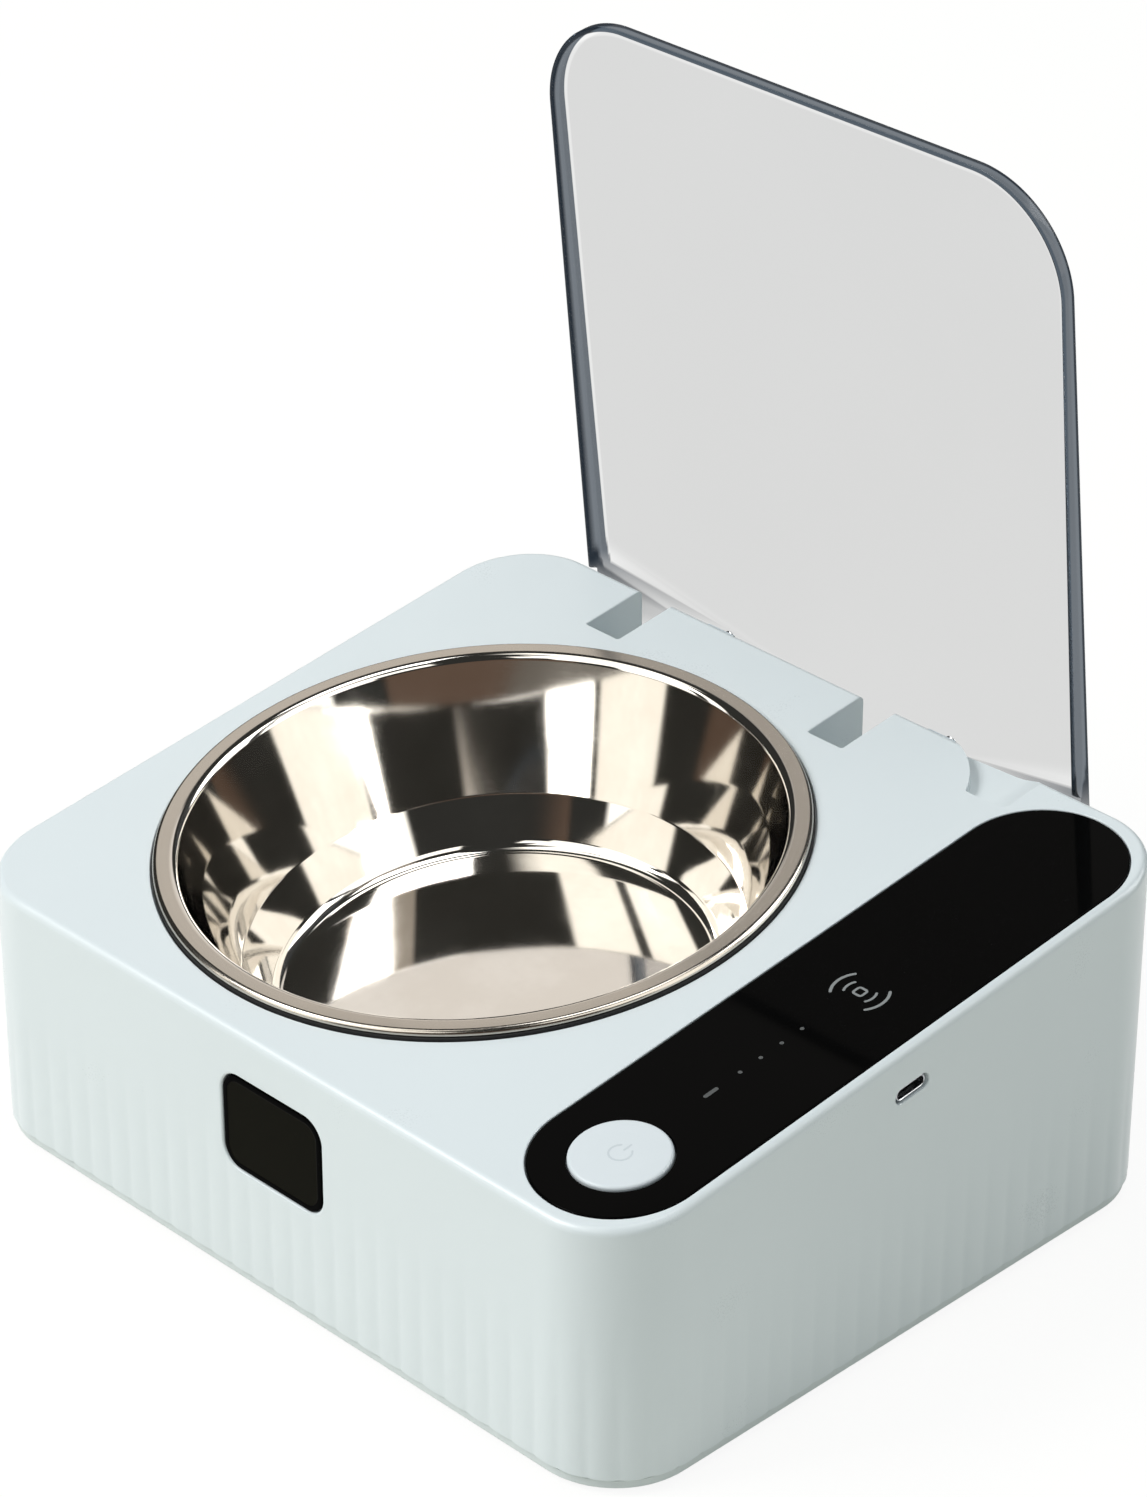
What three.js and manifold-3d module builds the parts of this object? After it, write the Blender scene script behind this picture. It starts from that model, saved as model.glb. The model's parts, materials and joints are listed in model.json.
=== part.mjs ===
// A cat bowl with a motor-driven lid that a sensor opens. A wedge-shaped housing holds a steel bowl,
// a control strip and, at the rear, a hinge shaft whose arms carry a clear lid. The lid stands fully open,
// at right angles to the deck. The bowl, the strip and their margins give the body its width and depth.
// Millimetres, +X to the right, +Y to the rear, +Z up.
// The deck frame is the top surface's own: X across, Y up the slope, Z square to it, zero on the surface.
// The lid frame turns about the hinge axis, and its shapes are drawn with the lid closed.

import * as THREE from 'three';
import { mergeVertices } from 'three/addons/utils/BufferGeometryUtils.js';
import Module from 'manifold-3d';

const wasm = await Module();
wasm.setup();

// Body
const frontHeight = 67;
const rearHeight = 87.5;
const cornerRadius = 21;
const topFillet = 3;
const wall = 2.3;
const deckThickness = 2.6;

// Clearances
const seat = 0.3; // between parts that rest on or in each other
const runningGap = 0.1; // shaft in a bush, on the radius
const overrun = 2; // how far a cutter passes the face it cuts
const weldTolerance = 1e-4;

// Base cover, feet and the screws that close the housing
const footHeight = 1.2;
const footRadius = 6;
const footRecess = 0.8;
const footInset = 24;
const baseInset = 0.8;
const baseThickness = 3.4;
const baseBand = 2.2;
const lipThickness = 1.6;
const lipHeight = 3.6;
const postRadius = 3.6;
const postHeight = 33;
const postFromCorner = 2.5;
const baseScrewRadius = 1.5;
const baseScrewHeadRadius = 2.9;
const baseScrewHeadHeight = 1.6;
const baseScrewLength = 12;

// Steel bowl and its seal
const bowlMouthRadius = 68.4;
const bowlRimWidth = 6;
const bowlLeftMargin = 9.4; // from the rim to the body's left wall
const bowlFrontMargin = 9.1;
const bowlRearMargin = 19.1;
const bowlToPanel = 10; // from the rim to the strip
const bowlWallDraw = 10.4; // the wall closes in by this from the mouth to the crease
const bowlFloorDraw = 6.5; // and by this from the crease to the floor
const bowlCreaseDepth = 30;
const bowlDepth = 41.5;
const bowlSheet = 0.8;
const bowlProud = 2.1;
const bowlBlend = 3;
const bowlLip = 1.3;
const sealRecess = 1.2;
const sealStep = 0.55;
const sealGrip = 1.5;
const wellWall = 1.8;
const wellFloorGap = 0.8;

// Control strip and push button
const panelRadius = 19.6;
const panelSideMargin = 2.6;
const panelFrontMargin = 3.9;
const panelRearMargin = 4.3;
const panelThickness = 2;
const ledgeWidth = 2.5;
const ledgeThickness = 2.1;
const ledgeRimWidth = 1.6;
const buttonRadius = 11.15;
const buttonProud = 0.9;
const buttonRound = 0.8;
const buttonFlange = 1.2;
const buttonFlangeThickness = 1.2;
const buttonStemRadius = 2;

// Circuit board under the strip, its switch, lamps and charging socket
const boardDepth = 7.8;
const boardThickness = 1.2;
const boardHalfWidth = 18;
const boardFrontMargin = 9;
const boardLength = 112;
const boardRadius = 16;
const boardBossRadius = 2.8;
const boardBossAcross = 15.5;
const boardBossFromButton = 19.6;
const boardBossFromRear = 9.9;
const boardScrewRadius = 0.8;
const boardScrewHeadRadius = 1.7;
const boardScrewHeadHeight = 0.9;
const boardScrewLength = 4.2;
const switchWidth = 6;
const switchHeight = 2.4;
const plungerRadius = 1.6;
const plungerProud = 1;
const plungerLength = 1;
const plungerStroke = 0.9;
const lampFromButton = [26.7, 35.5, 41.8, 48.2, 54.5];
const lampWidth = 2;
const lampHeight = 1;
const guideWidth = 4;
const guideBarHeight = 1.6;
const guideDotWidth = 1.5;
const guideDashLength = 4.5;
const guideMargin = 3;
const buzzerRadius = 4.5;
const buzzerHeight = 3.2;
const buzzerFromButton = 35.6;
const socketFromButton = 64;
const socketWidth = 9;
const socketHeight = 3.1;
const socketLength = 7.4;
const socketSheet = 0.35;
const socketSetback = 0.6;
const slotWidth = 10.5;
const slotHeight = 3.8;
const tongueWidth = 6.6;
const tongueHeight = 0.7;
const tongueLength = 4.6;

// Sensor window in the front wall, and the board behind it
const windowWidth = 32.2;
const windowHeight = 24.6;
const windowRadius = 5.5;
const windowBottom = 31;
const windowSetback = 0.25;
const windowFlange = 1.5;
const windowFlangeThickness = 1;
const sensorStandoff = 6.2;
const sensorBoardWidth = 46;
const sensorBoardHeight = 22;
const sensorBossRadius = 2.2;
const sensorBossInset = 2.6;
const sensorBossRise = 8;
const eyeRadius = 2.5;
const eyeSpacing = 12;

// Hinge, arms and the slots they swing through
const hingeFromRear = 10.6; // along the deck, from the rear wall's top edge to the axis
const hingeDepth = 27.5; // square to the deck
const notchSpacing = 72;
const notchWidth = 10.7;
const notchFront = 19; // along the deck, from the rear wall's top edge
const pocketWall = 1.8;
const pocketFloorGap = 1.4;
const shaftRadius = 2.5;
const shaftEnd = 2.4;
const bushWall = 1.7;
const bushFlange = 0.6;
const bushFlangeThickness = 0.8;
const armWidth = 8.4;
const armHubRadius = 5;
const armWebHalf = 3.6;
const armFootToe = 7.6; // ahead of the axis
const armFootHeel = 7;
const armFootThickness = 2.2;
const armGusset = 3;
const armGussetDrop = 6.4;
const armScrewAlong = [-3.6, 3.6];
const armScrewRadius = 0.9;
const armScrewHeadRadius = 1.9;
const armScrewHeadHeight = 1.2;
const armScrewLength = 4.4;

// Clear lid
const lidSideMargin = 3.5;
const lidToPanel = 6.3;
const lidFrontMargin = 3.2;
const lidRearMargin = 2.1;
const lidHeight = 6; // outer face above the deck, closed
const lidSheet = 2.6;
const lidSkirt = 5.6;
const lidFrontEdge = 3.4;
const lidSkirtWall = 2.2;
const lidSkirtEnd = 8.5; // skirt stops this far in front of the hinge axis
const lidFrontRadius = 26;
const lidRearRadius = 12;
const lidRound = 0.8;
const lidOpening = Math.PI / 2;

// Gear train and motor, carried by two ribs at the rear
const gearModule = 0.8;
const sectorTeeth = 42;
const pinionTeeth = 14;
const pressureAngle = THREE.MathUtils.degToRad(20);
const addendumShare = 0.9; // of the module
const dedendumShare = 1.25; // of the module
const toothThinning = 0.15;
const sectorFirstTooth = -12;
const sectorLastTooth = 1;
const sectorHubRadius = 4.6;
const gearWidth = 5;
const ribFromNotch = 19.3; // from the right slot's middle to the first rib
const ribSpacing = 14;
const ribThickness = 2.6;
const ribFront = 13; // in front of what the rib carries
const ribDrop = 8;
const gearSideGap = 1.3;
const outputRadius = 1.5;
const outputEngage = 4;
const gearboxLength = 11;
const gearboxWidth = 12;
const gearboxHeight = 10;
const motorRadius = 6;
const motorFlatHalf = 5;
const motorLength = 16;
const motorScrewAcross = 4.5;
const motorScrewRadius = 0.8;
const motorScrewHeadRadius = 1.4;
const motorScrewHeadHeight = 0.7;
const motorScrewLength = 4.4;

// Rechargeable cell and its holder
const cellRadius = 9.2;
const cellLength = 65;
const cellFromSide = 21; // from the right wall to the cell's axis
const cellFromFront = 43.5; // from the front wall to the cell's end
const holderWall = 1.8;
const holderFloor = 1.2;
const holderGripShare = 0.9; // of the cell's radius

// Leads inside the housing, each one round sleeve. Their routes are chosen by hand in the upright frame.
const leadRadius = 1.1;
const leadSides = 8;
const leadPitch = 5.5; // along the lead, from ring to ring
const motorLead = [
  [92, 16.96, 69.8],
  [92, 17.4, 66.2],
  [91.7, 22, 61],
  [91, 36, 57],
  [90, 48, 55.4],
  [86.5, 56.8, 55.8],
  [81, 58.88, 56.4],
  [77.5, 58.88, 56.4],
];
const cellLead = [
  [84, -58.53, 61.05],
  [84, -58.2, 57.6],
  [84, -60.5, 44],
  [84, -60, 32],
  [84, -56, 24],
  [84, -50, 21],
  [84, -45.3, 21],
];
const sensorLead = [
  [17, -78.5, 40],
  [17.2, -75.5, 40.1],
  [22, -71.5, 41],
  [36, -70, 44],
  [52, -69.5, 48],
  [66, -68, 52],
  [72, -64.4, 56.4],
  [72.3, -64.5, 60.35],
];

// Rear scoop in the deck
const scoopLength = 39;
const scoopFromSide = 24;
const scoopFront = 14;
const scoopDepth = 2.8;
const scoopRadius = 10;

// Fineness of round shapes, as counts of facets
const cornerSteps = 5;
const filletSteps = 3;
const bowlSteps = 48;
const bowlBlendSteps = 3;
const buttonSteps = 24;
const holeSteps = 16;
const smallSteps = 10;
const flankSteps = 2;

// Worked out from the driving dimensions
const bowlRimRadius = bowlMouthRadius + bowlRimWidth;
const bowlCreaseRadius = bowlMouthRadius - bowlWallDraw;
const bowlFloorRadius = bowlCreaseRadius - bowlFloorDraw;
const panelSpan = bowlToPanel + 2 * panelRadius + panelSideMargin;
const bodyWidth = bowlLeftMargin + 2 * bowlRimRadius + panelSpan;
const bodyDepth = bowlFrontMargin + 2 * bowlRimRadius + bowlRearMargin;
const halfWidth = bodyWidth / 2;
const halfDepth = bodyDepth / 2;
const deckSlope = (rearHeight - frontHeight) / bodyDepth;
const deckTilt = Math.atan(deckSlope);
const deckHeight = (frontHeight + rearHeight) / 2;
const deckHalf = halfDepth / Math.cos(deckTilt);
const baseBottom = footHeight;
const baseTop = baseBottom + baseThickness;
const shellBottom = baseBottom + baseBand + seat;
const bowlX = -halfWidth + bowlLeftMargin + bowlRimRadius;
const bowlY = (bowlFrontMargin - bowlRearMargin) / 2;
const hingeY = deckHalf - hingeFromRear;
const hingeZ = -hingeDepth;
const panelX = halfWidth - panelSideMargin - panelRadius;
const panelFrontY = -deckHalf + panelFrontMargin + panelRadius;
const panelRearY = deckHalf - panelRearMargin - panelRadius;
const boardFront = -deckHalf + boardFrontMargin;
const boardRear = boardFront + boardLength;
const boardBossAlong = [panelFrontY + boardBossFromButton, boardRear - boardBossFromRear];
const lampAlong = lampFromButton.map((along) => panelFrontY + along);
const buzzerAlong = panelFrontY + buzzerFromButton;
const socketAlong = panelFrontY + socketFromButton;
const lidLeft = -halfWidth + lidSideMargin;
const lidRight = panelX - panelRadius - lidToPanel;
const lidMiddle = (lidLeft + lidRight) / 2;
const notchX = [lidMiddle - notchSpacing / 2, lidMiddle + notchSpacing / 2];
const ribX = [notchX[1] + ribFromNotch, notchX[1] + ribFromNotch + ribSpacing];
const cellX = halfWidth - cellFromSide;
const cellFront = -halfDepth + cellFromFront;
const scoopRight = halfWidth - scoopFromSide;
const scoopLeft = scoopRight - scoopLength;
const bushOuter = shaftRadius + runningGap + bushWall;
const sectorPitch = (gearModule * sectorTeeth) / 2;
const pinionPitch = (gearModule * pinionTeeth) / 2;
const pinionY = hingeY - sectorPitch - pinionPitch;
const gearX = ribX[1] - gearSideGap - gearWidth;

// Frames
const deckPlace = new THREE.Matrix4().makeRotationX(deckTilt).setPosition(0, 0, deckHeight);
// A shape drawn in X and Y and raised along Z is laid along another axis.
const alongX = new THREE.Matrix4().makeBasis(
  new THREE.Vector3(0, 1, 0),
  new THREE.Vector3(0, 0, 1),
  new THREE.Vector3(1, 0, 0),
);
const alongY = new THREE.Matrix4().makeBasis(
  new THREE.Vector3(1, 0, 0),
  new THREE.Vector3(0, 0, 1),
  new THREE.Vector3(0, -1, 0),
);

// Booleans
function weld(geometry) {
  const bare = geometry.index ? geometry.toNonIndexed() : geometry.clone();
  bare.deleteAttribute('normal');
  bare.deleteAttribute('uv');
  const merged = mergeVertices(bare, weldTolerance);
  const corners = merged.index.array;
  const kept = [];
  for (let i = 0; i < corners.length; i += 3) {
    const [a, b, c] = corners.slice(i, i + 3);
    if (a !== b && b !== c && c !== a) kept.push(a, b, c);
  }
  merged.setIndex(kept);
  return merged;
}

function solid(geometry) {
  const merged = weld(geometry);
  const mesh = new wasm.Mesh({
    numProp: 3,
    vertProperties: new Float32Array(merged.attributes.position.array),
    triVerts: new Uint32Array(merged.index.array),
  });
  return new wasm.Manifold(mesh);
}

function geometryOf(body) {
  const { vertProperties, triVerts } = body.getMesh();
  const geometry = new THREE.BufferGeometry();
  geometry.setAttribute('position', new THREE.BufferAttribute(vertProperties, 3));
  geometry.setIndex(new THREE.BufferAttribute(triVerts, 1));
  geometry.computeVertexNormals();
  return geometry;
}

function carve(base, added, removed) {
  let body = solid(base);
  for (const piece of added) body = body.add(solid(piece));
  for (const piece of removed) body = body.subtract(solid(piece));
  return geometryOf(body);
}

// Outlines
function roundedRectangle(left, right, front, rear, frontRadius, rearRadius = frontRadius) {
  const quarter = Math.PI / 2;
  const shape = new THREE.Shape();
  shape.moveTo(left + frontRadius, front);
  shape.lineTo(right - frontRadius, front);
  shape.absarc(right - frontRadius, front + frontRadius, frontRadius, -quarter, 0);
  shape.lineTo(right, rear - rearRadius);
  shape.absarc(right - rearRadius, rear - rearRadius, rearRadius, 0, quarter);
  shape.lineTo(left + rearRadius, rear);
  shape.absarc(left + rearRadius, rear - rearRadius, rearRadius, quarter, 2 * quarter);
  shape.lineTo(left, front + frontRadius);
  shape.absarc(left + frontRadius, front + frontRadius, frontRadius, 2 * quarter, 3 * quarter);
  return shape;
}

function stadium(x, front, rear, radius) {
  const shape = new THREE.Shape();
  shape.absarc(x, front, radius, Math.PI, 2 * Math.PI);
  shape.absarc(x, rear, radius, 0, Math.PI);
  shape.closePath();
  return shape;
}

// Bodies from outlines
function slab(shape, bottom, top, steps = cornerSteps) {
  const options = { depth: top - bottom, bevelEnabled: false, curveSegments: steps };
  return new THREE.ExtrudeGeometry(shape, options).translate(0, 0, bottom);
}

function box(left, right, front, rear, bottom, top) {
  const geometry = new THREE.BoxGeometry(right - left, rear - front, top - bottom);
  return geometry.translate((left + right) / 2, (front + rear) / 2, (bottom + top) / 2);
}

// A body turned about Z from [radius, height] points that run round the section counterclockwise.
function spin(points, steps) {
  const outline = points.map(([radius, height]) => new THREE.Vector2(radius, height));
  const open = points[0][0] === 0 && points.at(-1)[0] === 0;
  if (!open) outline.push(outline[0].clone());
  return new THREE.LatheGeometry(outline, steps).rotateX(Math.PI / 2);
}

function rod(radius, bottom, top, steps = holeSteps) {
  return spin([[0, bottom], [radius, bottom], [radius, top], [0, top]], steps);
}

// A screw along Z with its tip down: shank from -length to 0, head above.
function screw(shankRadius, length, headRadius, headHeight) {
  const points = [[0, -length], [shankRadius, -length], [shankRadius, 0]];
  points.push([headRadius, 0], [headRadius, headHeight], [0, headHeight]);
  return spin(points, smallSteps);
}

// A countersunk screw along Z, its flat head flush at 0.
function sunkScrew(shankRadius, length, headRadius, headHeight) {
  const points = [[0, -length], [shankRadius, -length], [shankRadius, -headHeight]];
  points.push([headRadius, 0], [0, 0]);
  return spin(points, smallSteps);
}

// The body's outline drawn in by an inset, raised to the tilted deck, with an optional rounded top edge.
function wedge(inset, drop, fillet) {
  const outline = roundedRectangle(
    -halfWidth + inset,
    halfWidth - inset,
    -halfDepth + inset,
    halfDepth - inset,
    cornerRadius - inset,
  );
  const top = deckHeight - drop;
  const depth = top + frontHeight;
  const geometry = new THREE.ExtrudeGeometry(outline, {
    depth,
    bevelEnabled: fillet > 0,
    bevelThickness: fillet,
    bevelSize: fillet,
    bevelOffset: -fillet,
    bevelSegments: filletSteps,
    curveSegments: cornerSteps,
  });
  geometry.translate(0, 0, top - depth - fillet);
  return geometry.applyMatrix4(new THREE.Matrix4().makeShear(0, 0, 0, deckSlope, 0, 0));
}

// Upper housing
const ledgeTop = -panelThickness - seat;
const ledgeBottom = ledgeTop - ledgeThickness;
const wellBore = bowlMouthRadius + bowlSheet + seat;
const sealRadius = bowlRimRadius + seat;
const sealPocket = sealRadius + seat;
const wellTaperTop = -bowlCreaseDepth + bowlBlend;
const wellFloorRadius = bowlFloorRadius + bowlBlend;
const wellFloor = -bowlDepth - bowlSheet - wellFloorGap;

function wellCup() {
  const outer = wellBore + wellWall;
  const points = [[0, wellFloor - wellWall], [wellFloorRadius + wellWall, wellFloor - wellWall]];
  points.push([outer, wellTaperTop], [outer, -deckThickness / 2], [0, -deckThickness / 2]);
  return spin(points, bowlSteps).translate(bowlX, bowlY, 0);
}

function wellHollow() {
  const points = [[0, wellFloor], [wellFloorRadius, wellFloor], [wellBore, wellTaperTop]];
  points.push([wellBore, -sealRecess], [sealPocket, -sealRecess], [sealPocket, overrun], [0, overrun]);
  return spin(points, bowlSteps).translate(bowlX, bowlY, 0);
}

function hingePocket(x, extra) {
  const half = notchWidth / 2 + extra;
  const front = deckHalf - notchFront - extra;
  const floor = hingeZ - armHubRadius - pocketFloorGap - extra;
  const top = extra > 0 ? -deckThickness / 2 : overrun + topFillet;
  return box(x - half, x + half, front, deckHalf + topFillet + overrun, floor, top);
}

function rib(x) {
  const front = pinionY - ribFront;
  const floor = hingeZ - ribDrop;
  return box(x, x + ribThickness, front, deckHalf + overrun, floor, -deckThickness / 2);
}

// A round body along X, on the axis.
function crossRod(x, radius, length) {
  return rod(radius, x, x + length).applyMatrix4(alongX);
}

// Walls that carry the shaft, each with the side that its bush goes in from.
const bearings = [];
for (const x of notchX) {
  bearings.push({ x: x - notchWidth / 2 - pocketWall, width: pocketWall, flangeRight: false });
  bearings.push({ x: x + notchWidth / 2, width: pocketWall, flangeRight: true });
}
bearings.push({ x: ribX[0], width: ribThickness, flangeRight: false });
bearings.push({ x: ribX[1], width: ribThickness, flangeRight: true });

function bossesUnderStrip() {
  const places = [];
  for (const y of boardBossAlong) {
    for (const side of [-1, 1]) places.push([panelX + side * boardBossAcross, y]);
  }
  return places;
}

function sensorBosses() {
  const places = [];
  for (const side of [-1, 1]) {
    for (const rise of [-1, 1]) {
      const across = sensorBoardWidth / 2 - sensorBossInset;
      places.push([side * across, windowMiddle + rise * sensorBossRise]);
    }
  }
  return places;
}

function cornerPosts() {
  const arcX = halfWidth - cornerRadius;
  const arcY = halfDepth - cornerRadius;
  const reach = (cornerRadius - wall - postFromCorner) * Math.SQRT1_2;
  const places = [];
  for (const sideX of [-1, 1]) {
    for (const sideY of [-1, 1]) places.push([sideX * (arcX + reach), sideY * (arcY + reach)]);
  }
  return places;
}

function upperHousing() {
  const outside = solid(wedge(0, 0, topFillet));
  let shell = outside.subtract(solid(wedge(wall, deckThickness / Math.cos(deckTilt), 0)));

  const added = [wellCup()];
  added.push(slab(stadium(panelX, panelFrontY, panelRearY, panelRadius + ledgeRimWidth), ledgeBottom, 0));
  for (const x of notchX) added.push(hingePocket(x, pocketWall));
  for (const x of ribX) added.push(rib(x));
  added.push(box(
    scoopLeft - deckThickness,
    scoopRight,
    deckHalf - scoopFront - deckThickness,
    deckHalf,
    -scoopDepth - deckThickness,
    -deckThickness / 2,
  ));
  for (const piece of added) {
    shell = shell.add(solid(piece.applyMatrix4(deckPlace)).intersect(outside));
  }
  for (const [x, y] of cornerPosts()) {
    const bottom = baseTop + seat;
    shell = shell.add(solid(rod(postRadius, bottom, bottom + postHeight).translate(x, y, 0)));
  }
  for (const [x, z] of sensorBosses()) {
    const boss = rod(sensorBossRadius, sensorBoardFace + seat, halfDepth - wall / 2, smallSteps);
    shell = shell.add(solid(boss.translate(x, z, 0).applyMatrix4(alongY)));
  }

  const recess = stadium(panelX, panelFrontY, panelRearY, panelRadius + seat);
  const opening = stadium(panelX, panelFrontY, panelRearY, panelRadius - ledgeWidth);
  const removed = [wellHollow(), chargingSlot(), scoop()];
  removed.push(slab(recess, ledgeTop, overrun), slab(opening, ledgeBottom - overrun, overrun));
  for (const x of notchX) removed.push(hingePocket(x, 0));
  for (const { x, width } of bearings) {
    const hole = crossRod(x - overrun, bushOuter + seat, width + 2 * overrun);
    removed.push(hole.translate(0, hingeY, hingeZ));
  }
  const outputHole = crossRod(ribX[1] - overrun, outputRadius + 2 * seat, ribThickness + 2 * overrun);
  removed.push(outputHole.translate(0, pinionY, hingeZ));
  for (const side of [-1, 1]) {
    const hole = crossRod(ribX[1] - overrun, motorScrewRadius + seat, ribThickness + 2 * overrun);
    removed.push(hole.translate(0, pinionY + side * motorScrewAcross, hingeZ));
  }
  for (const piece of removed) shell = shell.subtract(solid(piece.applyMatrix4(deckPlace)));

  for (const [x, y] of bossesUnderStrip()) {
    const bottom = -boardDepth + seat;
    const boss = rod(boardBossRadius, bottom, ledgeTop, smallSteps).translate(x, y, 0);
    const top = Math.min(bottom + boardScrewLength, ledgeTop - seat);
    const hole = rod(boardScrewRadius + seat, bottom - overrun, top, smallSteps).translate(x, y, 0);
    shell = shell.add(solid(boss.applyMatrix4(deckPlace))).subtract(solid(hole.applyMatrix4(deckPlace)));
  }
  for (const [x, y] of cornerPosts()) {
    const top = baseTop + baseScrewLength + seat;
    const hole = rod(baseScrewRadius + seat, baseTop - overrun, top, smallSteps);
    shell = shell.subtract(solid(hole.translate(x, y, 0)));
  }
  const windowHole = slab(windowOutline(0), halfDepth - wall - overrun, halfDepth + overrun);
  shell = shell.subtract(solid(windowHole.applyMatrix4(alongY)));
  const below = box(-bodyWidth, bodyWidth, -bodyDepth, bodyDepth, -bodyWidth, shellBottom);
  return geometryOf(shell.subtract(solid(below)));
}

// A slot through the right wall for the charging plug, in the deck frame.
const socketZ = -boardDepth - boardThickness - seat - socketHeight / 2;

function chargingSlot() {
  const half = (slotWidth - slotHeight) / 2;
  const shape = new THREE.Shape();
  shape.absarc(socketAlong + half, socketZ, slotHeight / 2, -Math.PI / 2, Math.PI / 2);
  shape.absarc(socketAlong - half, socketZ, slotHeight / 2, Math.PI / 2, (3 * Math.PI) / 2);
  return slab(shape, halfWidth - wall - overrun, halfWidth + overrun).applyMatrix4(alongX);
}

// A shallow ramp at the rear edge, deepest at its rounded left end.
function scoop() {
  const front = deckHalf - scoopFront;
  const rear = deckHalf + scoopRadius + overrun;
  const ramp = Math.atan(scoopDepth / scoopLength);
  const outline = roundedRectangle(0, scoopLength + overrun, front, rear, scoopRadius);
  const cutter = slab(outline, 0, scoopDepth + topFillet + overrun);
  return cutter.rotateY(-ramp).translate(scoopLeft, 0, -scoopDepth);
}

// Base cover
function baseCover() {
  const outline = (inset) => roundedRectangle(
    -halfWidth + inset,
    halfWidth - inset,
    -halfDepth + inset,
    halfDepth - inset,
    cornerRadius - inset,
  );
  const lipInset = wall + seat;
  const inside = lipInset + lipThickness;
  const added = [slab(outline(lipInset), baseBottom + baseBand, baseTop + lipHeight)];
  const removed = [slab(outline(inside), baseTop, baseTop + lipHeight + overrun)];
  for (const [x, y] of cornerPosts()) {
    removed.push(rod(postRadius + 2 * seat, baseTop, baseTop + lipHeight + overrun).translate(x, y, 0));
    removed.push(rod(baseScrewRadius + seat, 0, baseTop + overrun, smallSteps).translate(x, y, 0));
    const headTop = baseBottom + baseScrewHeadHeight + seat;
    removed.push(rod(baseScrewHeadRadius + seat, 0, headTop, smallSteps).translate(x, y, 0));
  }
  for (const [x, y] of feetPlaces()) {
    removed.push(rod(footRadius + seat, 0, baseBottom + footRecess).translate(x, y, 0));
  }
  return carve(slab(outline(baseInset), baseBottom, baseBottom + baseBand), added, removed);
}

function feetPlaces() {
  const places = [];
  for (const sideX of [-1, 1]) {
    for (const sideY of [-1, 1]) {
      places.push([sideX * (halfWidth - footInset), sideY * (halfDepth - footInset)]);
    }
  }
  return places;
}

function foot() {
  return rod(footRadius, 0, footHeight + footRecess - seat);
}

// Bowl: the face that shows runs from the middle of the floor to the lip, and the sheet lies behind it.
function bowl() {
  const coneRun = bowlCreaseRadius - bowlFloorRadius;
  const coneRise = bowlDepth - bowlCreaseDepth;
  const coneX = (bowlBlend * coneRun) / Math.hypot(coneRun, coneRise);
  const coneZ = (bowlBlend * coneRise) / Math.hypot(coneRun, coneRise);
  const lean = (bowlMouthRadius - bowlCreaseRadius) / bowlCreaseDepth;
  const line = new THREE.Path();
  line.moveTo(0, -bowlDepth);
  line.lineTo(bowlFloorRadius - bowlBlend, -bowlDepth);
  line.quadraticCurveTo(bowlFloorRadius, -bowlDepth, bowlFloorRadius + coneX, -bowlDepth + coneZ);
  line.lineTo(bowlCreaseRadius - coneX, -bowlCreaseDepth - coneZ);
  const wallX = bowlCreaseRadius + lean * bowlBlend;
  line.quadraticCurveTo(bowlCreaseRadius, -bowlCreaseDepth, wallX, -bowlCreaseDepth + bowlBlend);
  line.lineTo(bowlMouthRadius, 0);
  line.quadraticCurveTo(bowlMouthRadius, bowlProud, bowlMouthRadius + bowlProud, bowlProud);
  line.lineTo(bowlRimRadius - bowlLip, bowlProud);
  line.quadraticCurveTo(bowlRimRadius, bowlProud, bowlRimRadius, bowlProud - bowlLip);
  const shown = line.getPoints(bowlBlendSteps);
  const behind = shown.map((point, i) => {
    const before = shown[Math.max(i - 1, 0)];
    const after = shown[Math.min(i + 1, shown.length - 1)];
    const run = after.clone().sub(before).normalize();
    const radius = i === 0 ? 0 : point.x + run.y * bowlSheet;
    return [radius, point.y - run.x * bowlSheet];
  });
  const face = shown.map((point) => [point.x, point.y]).reverse();
  return spin([...behind, ...face], bowlSteps).translate(bowlX, bowlY, 0);
}

// The seal lies in the recess round the well, and its outer step shows as a dark line under the rim.
function bowlSeal() {
  const bottom = -sealRecess + seat;
  const top = bowlProud - bowlSheet - seat;
  const underLip = bowlRimRadius - bowlSheet - sealStep;
  const step = bowlProud - bowlLip - seat;
  const inner = bowlMouthRadius + sealGrip;
  const points = [[inner, bottom], [sealRadius, bottom], [sealRadius, step]];
  points.push([underLip, step], [underLip, top], [inner, top]);
  return spin(points, bowlSteps).translate(bowlX, bowlY, 0);
}

// Control strip and the push button at its front end
function controlPanel() {
  const hole = rod(buttonRadius + seat, -panelThickness - overrun, overrun, buttonSteps);
  const outline = stadium(panelX, panelFrontY, panelRearY, panelRadius);
  const plate = slab(outline, -panelThickness, 0, 2 * cornerSteps);
  return carve(plate, [], [hole.translate(panelX, panelFrontY, 0)]);
}

const plungerTop = -boardDepth + seat + switchHeight + plungerProud;

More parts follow.
